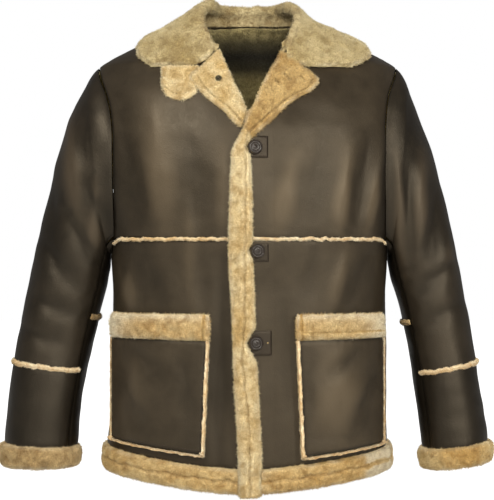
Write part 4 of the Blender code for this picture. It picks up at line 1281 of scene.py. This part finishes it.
for name, sleeve in SLEEVES.items():
    for part, first, last, cross_z in (
        ("top", BACK_SEAM, FRONT_SEAM, TOP_CROSS_Z),
        ("under", FRONT_SEAM, BACK_SEAM + 2 * pi, UNDER_CROSS_Z),
    ):
        along = sleeve.along_at(cross_z) + RAW_EDGE / 2 * np.linspace(-1, 1, 9)[:, None]
        around = np.linspace(first + GAP / 0.06, last - GAP / 0.06, 120)[None, :]
        along = along + wavy(0.06 * around, sleeve.side)
        along, turn = np.broadcast_arrays(along, around)
        outer = sleeve.lifted(along, turn, (RAW_HEIGHT + 0.0016) * puff(9)[:, None] + 0 * turn)
        inner = sleeve.lifted(along, turn, GAP + 0 * turn)
        # The under welts take the darker cuff wool and sink a little further, which darkens them: painted
        # shade.
        fluff(
            f"welt_{name}_{part}_sleeve",
            outer,
            inner,
            57 + sleeve.side + len(part),
            wool="welt" if part == "top" else "cuff",
            lump=WELT_LUMP,
            grooves=upper_rim + 0.0008 * (part == "under"),
        )

# %% [markdown]
# ## Cuffs, hem, front band and lapels
# These are the turned-back edges. The cuffs are rings. The hem band has a groove of stitching along its
# middle, and the front band has one down its outer third. The wearer's left lapel has a small stitched
# box with two slits.

# %% Cuffs
for name, sleeve in SLEEVES.items():
    cuff = sleeve.knots[-1 - CUFF_ROWS]
    along = np.linspace(cuff, sleeve.knots[-1], 26)[:, None]
    around = np.linspace(0, 2 * pi, 150, endpoint=False)[None, :]
    along, turn = np.broadcast_arrays(along, around)
    outer = sleeve.lifted(along, turn, CUFF_LIFT * puff(26, 0.35)[:, None] + 0 * turn)
    inner = sleeve.lifted(along, turn, -WALL - 0.002 * puff(26, 0.0)[:, None] + 0 * turn)
    seam_away = 0.06 * np.abs(np.angle(np.exp(1j * (turn - FRONT_SEAM))))
    fluff(
        f"cuff_{name}",
        outer,
        inner,
        61 + sleeve.side,
        ring=True,
        wool="cuff" if name == "right" else "wool",
        grooves=groove(seam_away, 0.0024, 0.0018),
    )

# %% Hem bands
level = np.linspace(HEM_BOTTOM, HEM_TOP - GAP, 28)[:, None]
seam = GAP / 0.23
start_right = angle_at(level, EDGE_AT["left"](level) - 0.0012)
for name, start, end, columns in (
    ("left", None, pi / 2 + 0 * level, 110),
    ("right", start_right, -pi / 2 + 0 * level, 110),
    ("back", pi / 2 + seam + 0 * level, 3 * pi / 2 - seam + 0 * level, 200),
):
    if start is None:
        angle = bent_columns(band_side(level) + 0.0012, end, level, columns)
    else:
        angle = start + (end - start) * np.linspace(0, 1, columns)[None, :]
    at = level + 0 * angle
    x = body(at, angle)[..., 0]
    stand = overlap(x) if name == "left" else 0 * x
    outer = skin(at, angle, 0.0085 * puff(28, 0.35)[:, None] + stand)
    inner = skin(at, angle, -WALL - 0.002 * puff(28, 0.0)[:, None] + stand)
    waver = 0.0012 * np.sin(23 * angle) + 0.0008 * np.sin(57 * angle)
    stitched = groove(at - (HEM_BOTTOM + 0.0195) - waver, 0.0032, 0.0026)
    # Painted highlight towards the left hem band's end at the side.
    band_highlight = soft_step((x - 0.178) / 0.012) - soft_step((x - 0.222) / 0.012) if name == "left" else 0.0
    fluff(f"hem_band_{name}", outer, inner, 65 + len(name), grooves=stitched, painted_highlight=band_highlight)

# %% Front band
knots = np.array(BAND_EDGE)[:, 0]
even = np.linspace(knots[0], knots[-1], 190)
level = np.unique(np.concatenate([knots, [HEM_TOP - 0.006, HEM_TOP - 0.0002], even]))
level = level[::-1][:, None]
slant = BAND_SLANT * np.clip((level - BAND_SLANT_START) / (knots[-1] - BAND_SLANT_START), 0, 1)
side = band_side(level)
first = EDGE_AT["left"](level + slant)
across = np.linspace(0, 1, 22)[None, :]
x = first + (side - first) * across
level = level + slant * (side - x) / (side - first)
outside = (WOOL + 0.0016) * puff(22, 0.35)[None, :] + 0 * x
inside = np.where(level < HEM_TOP - 0.001, -OVERLAP_LIFT - WALL + 0.002, GAP)
stitch_x = np.interp(level, (-0.71, -0.60, -0.52, -0.47, -0.18), (0.0050, 0.0030, -0.0075, -0.0035, 0.0000))
stitched = groove(x - stitch_x - 0.0008 * np.sin(160 * level), 0.0034, 0.0022)
outer, inner = left_front(level, x, outside), left_front(level, x, inside)
fluff("front_band", outer, inner, 71, grooves=stitched, wool="cream")

# %% Lapels
# Each slit's middle, x and level, and its length. They run down and away from the neck.
LAPEL_SLITS = ((0.0476, -0.0890, 0.0100), (0.0626, -0.0792, 0.0170), (0.0885, -0.0828, 0.0090))
for name, table, surface in (("left", LEFT_LAPEL, left_front), ("right", RIGHT_LAPEL, right_front)):
    lines = curves(table, LAPEL_COLUMNS, np.arange(len(table)))
    fine = np.linspace(0, len(table) - 1, 130)[:, None]
    roll_level, roll_x, outer_level, outer_x = (lines[column](fine) for column in LAPEL_COLUMNS)
    share = np.linspace(0, 1, 90)[None, :]
    level = roll_level + (outer_level - roll_level) * share + 0.0105 * np.exp(-fine / 0.7) * (1 - share**4)
    x = roll_x + (outer_x - roll_x) * share
    height = (WOOL + 0.0008) * puff(90, 0.40)[None, :] * puff(130, 0.7)[:, None]
    outer, inner = surface(level, x, height), surface(level, x, LAPEL_REST + 0 * x)
    edge_away = lengths(outer, 1)[:, -1:] - lengths(outer, 1)
    stitched = groove(edge_away - 0.011, 0.0030, 0.0022)
    if name == "left":
        for slit_x, slit_z, length in LAPEL_SLITS:
            near_x, near_z = outer[..., 0] - slit_x, outer[..., 2] - slit_z
            down, sideways = (near_x * 0.7 - near_z * 0.7), (near_x * 0.7 + near_z * 0.7)
            off = np.hypot(sideways, np.maximum(np.abs(down) - length / 2, 0))
            stitched = stitched + groove(off, 0.0070, 0.0014)
    wool = "golden" if name == "left" else "cream"
    fluff(f"lapel_{name}", outer, inner, 75 + len(name), grooves=stitched, wool=wool)

# %% [markdown]
# ## Patch pockets
# Each pocket is a leather patch that stands off the front on the thickness of its own wool. Its top is
# a band of wool, and a raw welt runs down its inner side, along its foot and up its outer side.

# %% Pockets
POCKET_WELT = 0.68 * RAW_EDGE
CORNER = 0.007
STITCH_INSET = 0.005

for name, inner_top, inner_bottom, outer_x, bottom in POCKETS:

    def spot(
        down, over, lift, inner_top=inner_top, inner_bottom=inner_bottom, outer_x=outer_x, bottom=bottom
    ):
        """A point of the pocket, by its share down from the top and its share over to the side."""
        down, over = np.broadcast_arrays(np.asarray(down, float), np.asarray(over, float))
        level = POCKET_TOP + (bottom - POCKET_TOP) * down
        start = angle_at(level, inner_top + (inner_bottom - inner_top) * down)
        end = angle_at(level, outer_x)
        return skin(level, start + (end - start) * over, lift + 0 * down)

    side = 1 if outer_x > 0 else -1
    height = POCKET_TOP - bottom
    rim, foot = POCKET_WELT / POCKET_WIDTH, POCKET_WELT / height
    band = (POCKET_TOP - POCKET_BAND_BOTTOM) / height
    down_from, down_to = band + GAP / height, 1 - foot - GAP / height
    over_from, over_to = rim + GAP / POCKET_WIDTH, 1 - rim - GAP / POCKET_WIDTH
    down = down_from + (down_to - down_from) * shares(50)[:, None]
    over = over_from + (over_to - over_from) * shares(56)[None, :]
    swell = POCKET_SWELL * np.sin(pi * down) * np.sin(pi * over)
    outer = spot(down, over, POCKET_STAND + POCKET_FACE + swell)
    inner = spot(down, over, POCKET_STAND + swell)
    cut = cut_size(outer)
    folds = [
        (side * 0.190, -0.500, side * 0.120, -0.560, 0.012, 0.0020),
        (side * 0.100, -0.520, side * 0.085, -0.640, 0.014, 0.0024),
        (side * 0.198, -0.560, side * 0.165, -0.645, 0.013, 0.0024),
    ]
    if side > 0:
        folds.append((0.140, -0.500, 0.150, -0.650, 0.040, -0.0034))
    else:
        folds.append((-0.175, -0.515, -0.185, -0.640, 0.018, -0.0018))
    relief = leather_relief(outer, inner, folds, 90 + side, 0.0009)
    node = f"pocket_{name}_patch"
    made = wall(node, relief, inner, (leather, lining), shade=leather_shade(outer, folds))
    keep_sheet(made, node, cut)

    down = np.linspace(0, band, 24)[:, None]
    over = np.linspace(0, 1, 90)[None, :]
    flap = groove((over - 0.058) * POCKET_WIDTH, 0.0030, 0.0020)
    outside = POCKET_STAND + (WOOL + 0.0006) * puff(24, 0.35)[:, None] * puff(90, 0.7)[None, :]
    corner = np.clip(1 - np.minimum(over, 1 - over) * POCKET_WIDTH / CORNER, 0, 1)
    down = down + (CORNER / height) * (1 - np.sqrt(1 - corner**2)) * (1 - down / band)
    outer, inner = spot(down, over, outside), spot(down, over, POCKET_STAND - 0.001)
    # Painted highlight at the band's outer end and along its top, and a little over all of it.
    band_highlight = 0.12 + np.exp(-(((1 - over) / 0.22) ** 2)) + 0.6 * np.exp(-((down / (0.25 * band)) ** 2))
    if side > 0:
        flap = flap + groove((down - 0.72 * band) * height, 0.0020, 0.0011) * (over > 0.06) * (over < 0.97)
    flap = flap + 0 * band_highlight
    fluff(f"pocket_{name}_band", outer, inner, 94 + side, grooves=flap, painted_highlight=band_highlight)

    top = band + 2 * GAP / height
    outline = [(t, 0.0) for t in np.linspace(top, 1, 60)]
    outline += [(1.0, t) for t in np.linspace(0, 1, 70)[1:]]
    outline += [(t, 1.0) for t in np.linspace(1, top, 60)[1:]]
    down, over = np.array(outline).T
    across = np.linspace(0, 1, 8)[None, :]
    inward = rim * ((over == 0) * 1.0 - (over == 1))
    rise = foot * (down == 1)
    run = np.concatenate([[0], np.cumsum(np.hypot(np.diff(down) * height, np.diff(over) * POCKET_WIDTH))])
    waver = wavy(run, 4 + side, 0.0006) + 0.5 * wavy(2.7 * run, 9 + side, 0.0009)
    down = down[:, None] - rise[:, None] * across + (rise > 0)[:, None] * waver[:, None] / height
    over = over[:, None] + inward[:, None] * across + (inward != 0)[:, None] * waver[:, None] / POCKET_WIDTH
    outside = (POCKET_STAND + POCKET_FACE + 0.0032) * puff(8, 0.82)[None, :]
    outer, inner = spot(down, over, outside), spot(down, over, POCKET_REST)
    outer_rim = 0.0013 * (across > 0.7) + 0 * over
    node = f"pocket_{name}_welt"
    fluff(node, outer, inner, 97 + side, wool="welt", lump=WELT_LUMP, grooves=outer_rim)

# %% [markdown]
# ## Throat tab and collar
# The tab lies under the collar's right fall and is sewn round its edge. The collar rises from the
# neckline as a stand, folds over, and falls on the shoulders with its wool side out. Each of its
# cross-sections is a smooth line through eleven points, from the foot of the stand to the free edge.

# %% Throat tab
lapel = np.array(RIGHT_LAPEL)[::-1]
lapel_edge = Curve(lapel[:, 2], lapel[:, 3])
share = (1 - np.cos(np.linspace(0, pi, 34)))[None, :] / 2
bottom = TAB_SHOULDER - TAB_DEPTH * np.sqrt(np.clip(1 - (2 * share - 1) ** 2, 0, 1))
down = np.linspace(0, 1, 34)[:, None]
level = TAB_TOP + (bottom - TAB_TOP) * down
inner_x = np.minimum(np.maximum(lapel_edge(np.maximum(level, -0.106)), -0.2) - 0.0012, -0.0742)
x = TAB_SIDE + (inner_x - TAB_SIDE) * share
rounding = 0.5 + 0.5 * np.minimum(puff(34, 0)[None, :] * 1.2, 1)
height = 0.0088 * rounding * (1 - 0.35 * down**6)
outer, inner = right_front(level, x, height), right_front(level, x, GAP + 0 * x)
down, over = lengths(outer, 0), lengths(outer, 1)
edge_away = np.minimum(down[-1:] - down, np.minimum(over, over[:, -1:] - over))
fluff("throat_tab", outer, inner, 101, grooves=groove(edge_away - 0.0105, 0.0020, 0.0016), wool="cream")


# %% Collar
def resampled(points, count):
    """The same line, smoothly, in more points."""
    run = np.concatenate([[0], np.cumsum(np.linalg.norm(np.diff(points, axis=0), axis=1))])
    at = np.linspace(0, run[-1], count)
    slope = np.gradient(points, run, axis=0)
    index = np.clip(np.searchsorted(run, at) - 1, 0, len(run) - 2)
    width = (run[index + 1] - run[index])[:, None]
    t = ((at - run[index]) / width[:, 0])[:, None]
    start = (1 + 2 * t) * (1 - t) ** 2 * points[index] + t * (1 - t) ** 2 * width * slope[index]
    return start + t * t * (3 - 2 * t) * points[index + 1] + t * t * (t - 1) * width * slope[index + 1]


hidden_rows = []
for side, fractions in ((-1, np.linspace(0, 1, 73)), (1, np.linspace(1, 0, 73)[1:])):
    levels, angles, run = neck_path(side)
    for fraction in fractions:
        level, angle = np.interp(fraction, run, levels), np.interp(fraction, run, angles)
        neck = body(level, angle)
        normal = body_normal(level, angle)
        out = unit(np.array([normal[0], normal[1], 0.0]))
        lines, ease = COLLAR_AT[side], COLLAR_EASES[side]
        stand, lean = lines["stand"](fraction), lines["lean"](fraction)
        foot = neck - normal * WALL / 2 + np.array([0, 0, 0.0024]) - out * 0.001
        stand = stand + 0.0028
        aside = side * COLLAR_SPREAD * np.clip(1 - fraction / 0.3, 0, 1)
        bend = np.array([aside, 0, 0]) - out * lean
        head = foot + np.array([0, 0, stand]) + bend
        row = []
        for t in (0.0, 0.5, 1.0):
            row.append(foot + np.array([0, 0, stand * t]) + bend * t**2 + out * COLLAR_STAND / 2)
        start = head + out * (COLLAR_STAND / 2 + COLLAR_SLOT)
        row.append((row[-1] + start) / 2 + np.array([0, 0, COLLAR_SLOT / 2]))
        row.append(start)
        edge_level = lines["edge_level"](fraction)
        edge_angle = side * radians(float(lines["edge_degrees"](fraction)))
        lead = start - neck - normal * COLLAR_REST
        sag = -COLLAR_SAG * np.clip(1 - fraction / 0.15, 0, 1)
        for t in np.linspace(0, 1, 8)[1:] ** 1.3:
            at = level + (edge_level - level) * t + sag * np.sin(pi * t**0.5)
            turn = angle + (edge_angle - angle) * t
            row.append(body(at, turn) + body_normal(at, turn) * COLLAR_REST + lead * (1 - t) ** ease)
        hidden_rows.append(resampled(np.array(row), 46))
hidden = np.array(hidden_rows)
upright = unit(np.cross(np.gradient(hidden, axis=0), np.gradient(hidden, axis=1)))
if upright[len(hidden) // 2, -2, 1] < 0:
    upright = -upright
reach = lengths(hidden, 1) / lengths(hidden, 1)[:, -1:]
thickness = COLLAR_STAND + (COLLAR_FALL - COLLAR_STAND) * soft_step((reach - 0.18) / 0.15)
thickness = thickness * np.sqrt(np.clip(1 - np.clip((reach - 0.93) / 0.08, 0, 1) ** 2, 0.2, 1))
along = lengths(hidden, 0)
end_away = np.minimum(along, along[-1:] - along)
thickness = thickness * (0.45 + 0.55 * np.sqrt(np.clip(end_away / 0.008, 0, 1)))
shown = hidden + upright * thickness[..., None]
# Painted shade: the stand's inner side is sunk a little and darkened towards its foot.
shaded_stand = 0.0020 * soft_step((0.24 - reach) / 0.10)
fluff("collar", shown, hidden, 105, wool="collar", grooves=shaded_stand)

# %% [markdown]
# ## Growing the pile with Geometry Nodes
# A tree of nodes scatters points over every face that has `pile`, turns each one to the surface's
# normal, leans it a little at random, and puts a small three-sided tuft there. The seed is fixed, so
# each run grows the same pile. The tufts are then realized, made a plain mesh and kept as a piece of
# their own, because the ground under them is the cloth that was cut.


# %% The tuft tree
def named_input(tree, name, kind, value=None):
    socket = tree.interface.new_socket(name=name, in_out="INPUT", socket_type=kind)
    if value is not None:
        socket.default_value = value
    return socket


def node(tree, kind, settings=None, values=None):
    """A node with its settings, and with values or other nodes' sockets in its inputs."""
    made = tree.nodes.new(kind)
    for name, value in (settings or {}).items():
        setattr(made, name, value)
    for name, value in (values or {}).items():
        if isinstance(value, bpy.types.NodeSocket):
            tree.links.new(value, made.inputs[name])
        else:
            made.inputs[name].default_value = value
    return made


def maths(tree, operation, first, second):
    return node(tree, "ShaderNodeMath", {"operation": operation}, {0: first, 1: second})


def tuft_tree():
    """The tree that grows wool: points on the ground, and a leaning cone on each."""
    tree = bpy.data.node_groups.new("tufts of wool", "GeometryNodeTree")
    named_input(tree, "Ground", "NodeSocketGeometry")
    named_input(tree, "Tufts per square metre", "NodeSocketFloat", 300000.0)
    named_input(tree, "Length", "NodeSocketFloat", 0.0045)
    named_input(tree, "Width", "NodeSocketFloat", 0.0008)
    named_input(tree, "Lean", "NodeSocketFloat", 0.5)
    named_input(tree, "Seed", "NodeSocketInt", 1)
    named_input(tree, "Finish", "NodeSocketMaterial")
    tree.interface.new_socket(name="Pile", in_out="OUTPUT", socket_type="NodeSocketGeometry")
    given = node(tree, "NodeGroupInput").outputs
    pile = node(tree, "GeometryNodeInputNamedAttribute", {"data_type": "FLOAT"}, {"Name": "pile"})
    most = given["Tufts per square metre"]
    density = maths(tree, "MULTIPLY", most, pile.outputs[0])
    spread = node(
        tree,
        "GeometryNodeDistributePointsOnFaces",
        {"distribute_method": "RANDOM"},
        {"Mesh": given["Ground"], "Density": density.outputs[0], "Seed": given["Seed"]},
    )
    tuft = node(
        tree,
        "GeometryNodeMeshCone",
        {"fill_type": "NONE"},
        {"Vertices": 3, "Radius Top": 0.0, "Radius Bottom": given["Width"], "Depth": given["Length"]},
    )
    place = node(tree, "GeometryNodeInputPosition")
    height = node(tree, "ShaderNodeSeparateXYZ", values={0: place.outputs[0]})
    tip = maths(tree, "DIVIDE", height.outputs["Z"], given["Length"])
    marked = node(
        tree,
        "GeometryNodeStoreNamedAttribute",
        {"data_type": "FLOAT", "domain": "POINT"},
        {"Geometry": tuft.outputs["Mesh"], "Name": "tip", "Value": tip.outputs[0]},
    )
    back = maths(tree, "MULTIPLY", given["Lean"], -1.0)
    low = node(tree, "ShaderNodeCombineXYZ", values={0: back.outputs[0], 1: back.outputs[0], 2: -pi})
    high = node(tree, "ShaderNodeCombineXYZ", values={0: given["Lean"], 1: given["Lean"], 2: pi})
    span = {0: low.outputs[0], 1: high.outputs[0]}
    lean = node(tree, "FunctionNodeRandomValue", {"data_type": "FLOAT_VECTOR"}, span)
    tilt = node(tree, "FunctionNodeEulerToRotation", values={0: lean.outputs[0]})
    turned = node(
        tree,
        "FunctionNodeRotateRotation",
        {"rotation_space": "LOCAL"},
        {0: spread.outputs["Rotation"], 1: tilt.outputs[0]},
    )
    size = node(tree, "FunctionNodeRandomValue", {"data_type": "FLOAT"}, {2: 0.55, 3: 1.3})
    tufts = node(
        tree,
        "GeometryNodeInstanceOnPoints",
        values={
            "Points": spread.outputs["Points"],
            "Instance": marked.outputs["Geometry"],
            "Rotation": turned.outputs[0],
            "Scale": size.outputs[1],
        },
    )
    real = node(tree, "GeometryNodeRealizeInstances", values={0: tufts.outputs[0]})
    smooth = node(tree, "GeometryNodeSetShadeSmooth", values={"Geometry": real.outputs[0]})
    finished = node(
        tree, "GeometryNodeSetMaterial", values={"Geometry": smooth.outputs[0], "Material": given["Finish"]}
    )
    tree.links.new(finished.outputs[0], node(tree, "NodeGroupOutput").inputs[0])
    return tree


def grown(base, name, tree, settings):
    """The mesh that a tree makes from an object, as a plain object of its own."""
    carrier = bpy.data.objects.new(name, base.data.copy())
    scene.collection.objects.link(carrier)
    modifier = carrier.modifiers.new("grow", "NODES")
    modifier.node_group = tree
    for item in tree.interface.items_tree:
        if item.item_type == "SOCKET" and item.in_out == "INPUT" and item.name in settings:
            modifier[item.identifier] = settings[item.name]
    graph = bpy.context.evaluated_depsgraph_get()
    mesh = bpy.data.meshes.new_from_object(carrier.evaluated_get(graph), depsgraph=graph)
    carrier.modifiers.remove(modifier)
    old = carrier.data
    carrier.data = mesh
    mesh.name = name
    bpy.data.meshes.remove(old)
    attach(carrier, "root")
    return carrier


# %% Grow the wool
tufts = tuft_tree()
TUFTS_PER_METRE = 1000000.0
# Each row's share of that density, its tufts' length and width, and the pieces that it covers.
TUFTED = (
    (0.68, 0.0042, 0.00055, "collar"),
    (1.0, 0.0042, 0.0005, "lapel_left lapel_right front_band throat_tab"),
    (1.0, 0.0042, 0.0005, "pocket_left_band pocket_right_band hem_band_left hem_band_right"),
    (0.8, 0.0042, 0.0005, "hem_band_back"),
    (0.9, 0.0042, 0.0005, "cuff_left cuff_right"),
    (0.9, 0.0022, 0.0004, "pocket_left_welt pocket_right_welt welt_left_chest welt_right_chest"),
    (0.9, 0.0022, 0.0004, "welt_left_top_sleeve welt_right_top_sleeve"),
    (0.9, 0.0022, 0.0004, "welt_left_under_sleeve welt_right_under_sleeve"),
    (0.5, 0.0055, 0.0008, "back"),
)
piles = {}
tufted = [(base, *row) for *row, names in TUFTED for base in names.split()]
for number, (base, density, length, width) in enumerate(tufted):
    finish = pelts[wool_of.get(base, "lining")]
    settings = {
        "Tufts per square metre": density * TUFTS_PER_METRE,
        "Length": length,
        "Width": width,
        "Lean": 0.6,
        "Seed": 11 + number,
        "Finish": finish,
    }
    piles[base] = grown(made_pieces[base][0], f"pile_{base}", tufts, settings)
    print(f"pile_{base}", len(piles[base].data.polygons) // 3, "tufts")

# %% [markdown]
# ## Buttons, stays and eyelet
# Each button is a dished disc with rings turned into its face. It sits on a square stay of leather that
# is sewn to the front. We turn its profile round an axis that stands on the coat's own surface.


# %% Turned pieces
def turned_piece(name, profile, centre, axis, finish, segments=48, ring=False):
    """A solid of revolution about an axis, from a profile of (radius, height) points."""
    axis = unit(np.asarray(axis, float))
    side = unit(np.cross(axis, (0.0, 0.0, 1.0)))
    other = np.cross(axis, side)
    points, rows = [], []
    for radius, height in profile:
        if radius == 0:
            rows.append([len(points)] * segments)
            points.append(centre + axis * height)
            continue
        rows.append(list(range(len(points), len(points) + segments)))
        for k in range(segments):
            turn = 2 * pi * k / segments
            points.append(centre + axis * height + radius * (cos(turn) * side + sin(turn) * other))
    if ring:
        rows.append(rows[0])
    faces = []
    for low, high in zip(rows, rows[1:]):
        for k in range(segments):
            face = [low[k], low[(k + 1) % segments], high[(k + 1) % segments], high[k]]
            faces.append(tuple(dict.fromkeys(face)))
    points = np.array(points)
    return mesh_object(name, points, outward(points, faces), [finish], radians(45))


def ring_profile(radius, base, height):
    """A button's profile from its foot to its middle: a rim, two turned rings and a small boss."""
    face = [(0.0, 0.0), (0.0035, 0.0), (0.0035, base), (radius, base)]
    across = np.linspace(1.0, 0.0, 34)
    rim = np.exp(-(((across - 0.90) / 0.07) ** 2)) + 0.65 * np.exp(-(((across - 0.56) / 0.06) ** 2))
    boss = 0.8 * np.exp(-((across / 0.24) ** 2))
    for share, rise in zip(across, np.minimum(rim + boss, 1.0)):
        face.append((radius * share, base + (height - base) * (0.42 + 0.58 * rise)))
    return face


# %% Buttons and stays
BUTTON_FOOT = 0.0018
BUTTON_HEIGHT = 0.0056

knots = np.array(BAND_EDGE)[:, 0]
lapel_end = np.array(LEFT_LAPEL)[-2:, 2:][::-1]
for number, (level, x, top, bottom, right_side) in enumerate(STAYS, start=1):
    inside = knots[(knots > bottom) & (knots < top)]
    rows = np.unique(np.concatenate([[bottom, top], inside, np.linspace(bottom, top, 24)]))[:, None]
    lapel_side = np.interp(rows, lapel_end[:, 0], lapel_end[:, 1], left=-1)
    first = np.maximum(band_side(rows) + 0.0007, lapel_side + 0.0016)
    across = first + (right_side - first) * shares(22, (0.03, 0.08))[None, :]
    outer = left_front(rows, across, STAY_THICKNESS + 2 * GAP + 0 * across)
    inner = left_front(rows, across, GAP + 0 * across)
    dip = seam_dip(outer, depth=0.0009, reach=0.0014, pucker=0.0)
    outer = outer - grid_normals(outer, inner) * dip[..., None]
    made = wall(f"button_stay_{number}", outer, inner, (dark_leather,))
    keep(made, f"button_stay_{number}")
    seat = left_front(level, x, np.array(STAY_THICKNESS + 3.5 * GAP))
    over = left_front(level, x + 0.004, np.array(0.0)) - left_front(level, x - 0.004, np.array(0.0))
    upward = left_front(level + 0.004, x, np.array(0.0)) - left_front(level - 0.004, x, np.array(0.0))
    profile = ring_profile(BUTTON_RADIUS, BUTTON_FOOT, BUTTON_HEIGHT)
    button = turned_piece(f"button_{number}", profile, seat, np.cross(over, upward), button_face)
    keep(button, f"button_{number}")

level, x = EYELET
height = WOOL + 2 * GAP
centre = right_front(level, x, np.array(height))
axis = right_front(level, x, np.array(height + 0.01)) - centre
turn = np.linspace(0, 2 * pi, 14, endpoint=False)
profile = [(0.0041 + 0.0011 * cos(t), 0.0009 + 0.0009 * sin(t)) for t in turn]
eyelet = turned_piece("lapel_eyelet", profile, centre, axis, eyelet_ring, segments=40, ring=True)
keep(eyelet, "lapel_eyelet")
disc = [(0, 0.0), (0.0040, 0.0), (0.0040, 0.0006), (0, 0.0006)]
keep(turned_piece("eyelet_hole", disc, centre, axis, dark_leather))

# %% [markdown]
# ## Stitching with Geometry Nodes
# A second tree follows a line of points, cuts it into even steps and puts one short thread on each,
# turned along the line. Each row of stitches lies just above the surface that it sews.


# %% The stitch tree
def stitch_tree():
    """The tree that sews: even steps along a line, and a thread along each."""
    tree = bpy.data.node_groups.new("row of stitches", "GeometryNodeTree")
    named_input(tree, "Line", "NodeSocketGeometry")
    named_input(tree, "Pitch", "NodeSocketFloat", 0.0045)
    named_input(tree, "Length", "NodeSocketFloat", 0.0034)
    named_input(tree, "Thickness", "NodeSocketFloat", 0.0004)
    named_input(tree, "Finish", "NodeSocketMaterial")
    tree.interface.new_socket(name="Stitches", in_out="OUTPUT", socket_type="NodeSocketGeometry")
    given = node(tree, "NodeGroupInput").outputs
    line = node(tree, "GeometryNodeMeshToCurve", values={"Mesh": given["Line"]})
    steps = {"Curve": line.outputs[0], "Length": given["Pitch"]}
    even = node(tree, "GeometryNodeResampleCurve", {"mode": "LENGTH"}, steps)
    round_bead = {"Segments": 6, "Rings": 4, "Radius": given["Thickness"]}
    bead = node(tree, "GeometryNodeMeshUVSphere", values=round_bead)
    half = maths(tree, "MULTIPLY", maths(tree, "DIVIDE", given["Length"], given["Thickness"]).outputs[0], 0.5)
    shape = node(tree, "ShaderNodeCombineXYZ", values={0: 1.0, 1: 1.0, 2: half.outputs[0]})
    tangent = node(tree, "GeometryNodeInputTangent")
    along = {"Vector": tangent.outputs[0]}
    facing = node(tree, "FunctionNodeAlignRotationToVector", {"axis": "Z"}, along)
    threads = node(
        tree,
        "GeometryNodeInstanceOnPoints",
        values={
            "Points": even.outputs[0],
            "Instance": bead.outputs["Mesh"],
            "Rotation": facing.outputs[0],
            "Scale": shape.outputs[0],
        },
    )
    real = node(tree, "GeometryNodeRealizeInstances", values={0: threads.outputs[0]})
    finished = node(
        tree, "GeometryNodeSetMaterial", values={"Geometry": real.outputs[0], "Material": given["Finish"]}
    )
    tree.links.new(finished.outputs[0], node(tree, "NodeGroupOutput").inputs[0])
    return tree


def line_object(name, lines):
    """A mesh of edges along each line of points."""
    points, edges = [], []
    for line in lines:
        edges += [(len(points) + k, len(points) + k + 1) for k in range(len(line) - 1)]
        points += [tuple(map(float, point)) for point in line]
    mesh = bpy.data.meshes.new(name)
    mesh.from_pydata(points, edges, [])
    return bpy.data.objects.new(name, mesh)


PITCH = 0.0045
STITCH = 0.0032
THREAD = 0.0004


def sewn(name, lines, finish, pitch=PITCH, length=STITCH, thickness=THREAD):
    """A piece made of the threads along some lines."""
    settings = {"Pitch": pitch, "Length": length, "Thickness": thickness, "Finish": finish}
    made = grown(line_object(f"{name}_line", lines), name, stitches, settings)
    print(name, len(made.data.polygons), "faces")
    return made


# %% Sew the rows
stitches = stitch_tree()
rows = []
for level, x, top, bottom, right_side in STAYS:
    left_side = x + BUTTON_RADIUS + 0.0010
    inset = 0.0022
    outline = [(top - inset, left_side), (top - inset, right_side - inset)]
    outline += [(bottom + inset, right_side - inset), (bottom + inset, left_side)]
    for (first_z, first_x), (last_z, last_x) in zip(outline, outline[1:]):
        share = np.linspace(0, 1, 20)
        z, across = first_z + (last_z - first_z) * share, first_x + (last_x - first_x) * share
        rows.append(left_front(z, across, np.full(20, STAY_THICKNESS + 2 * GAP + 0.0001)))
sewn("stay_stitches", rows, thread, 0.0030, 0.0022, 0.00035)

rows = []
for name, inner_top, inner_bottom, outer_x, bottom in POCKETS:
    height = POCKET_TOP - bottom
    start, end = (POCKET_TOP - POCKET_BAND_BOTTOM + 0.002) / height, 1 - (POCKET_WELT + STITCH_INSET) / height
    inset = (POCKET_WELT + STITCH_INSET) / POCKET_WIDTH
    outline = [(start, inset), (end, inset), (end, 1 - inset), (start, 1 - inset)]
    for (first_down, first_over), (last_down, last_over) in zip(outline, outline[1:]):
        share = np.linspace(0, 1, 60)
        down = first_down + (last_down - first_down) * share
        over = first_over + (last_over - first_over) * share
        swell = POCKET_SWELL * np.sin(pi * down) * np.sin(pi * over)
        level = POCKET_TOP + (bottom - POCKET_TOP) * down
        from_angle = angle_at(level, inner_top + (inner_bottom - inner_top) * down)
        angle = from_angle + (angle_at(level, outer_x) - from_angle) * over
        rows.append(skin(level, angle, POCKET_STAND + POCKET_FACE + swell - 0.0001))
sewn("pocket_stitches", rows, thread, 0.0042, 0.0032, 0.00035)

level, x, top, bottom, right_side = STAYS[2]
seat = left_front(level, right_side - 0.0065, np.array(STAY_THICKNESS + 2 * GAP))
above = left_front(level, right_side - 0.0065, np.array(STAY_THICKNESS + 0.01))
dome = [(0.0, 0.0), (0.0014, 0.0), (0.0012, 0.0006), (0.0007, 0.0010), (0.0, 0.0011)]
rivet = turned_piece("stay_rivet", dome, seat, above - seat, rivet_brass, segments=24)
keep(rivet)

# %% [markdown]
# ## The cut
# Every piece of skin and wool is a sheet. We state the flat size that each was cut to, as measured on
# its grid before any crease was pressed in, so a reader can see how much skin the coat takes.

skin_area = 0.0
for name, (made, (width, length, area)) in made_pieces.items():
    skin_area += area
    if min(width, length) < 0.02:
        continue
    extra = [piles[name]] if name in piles else []
print("skin in all, square metres:", round(skin_area, 3))
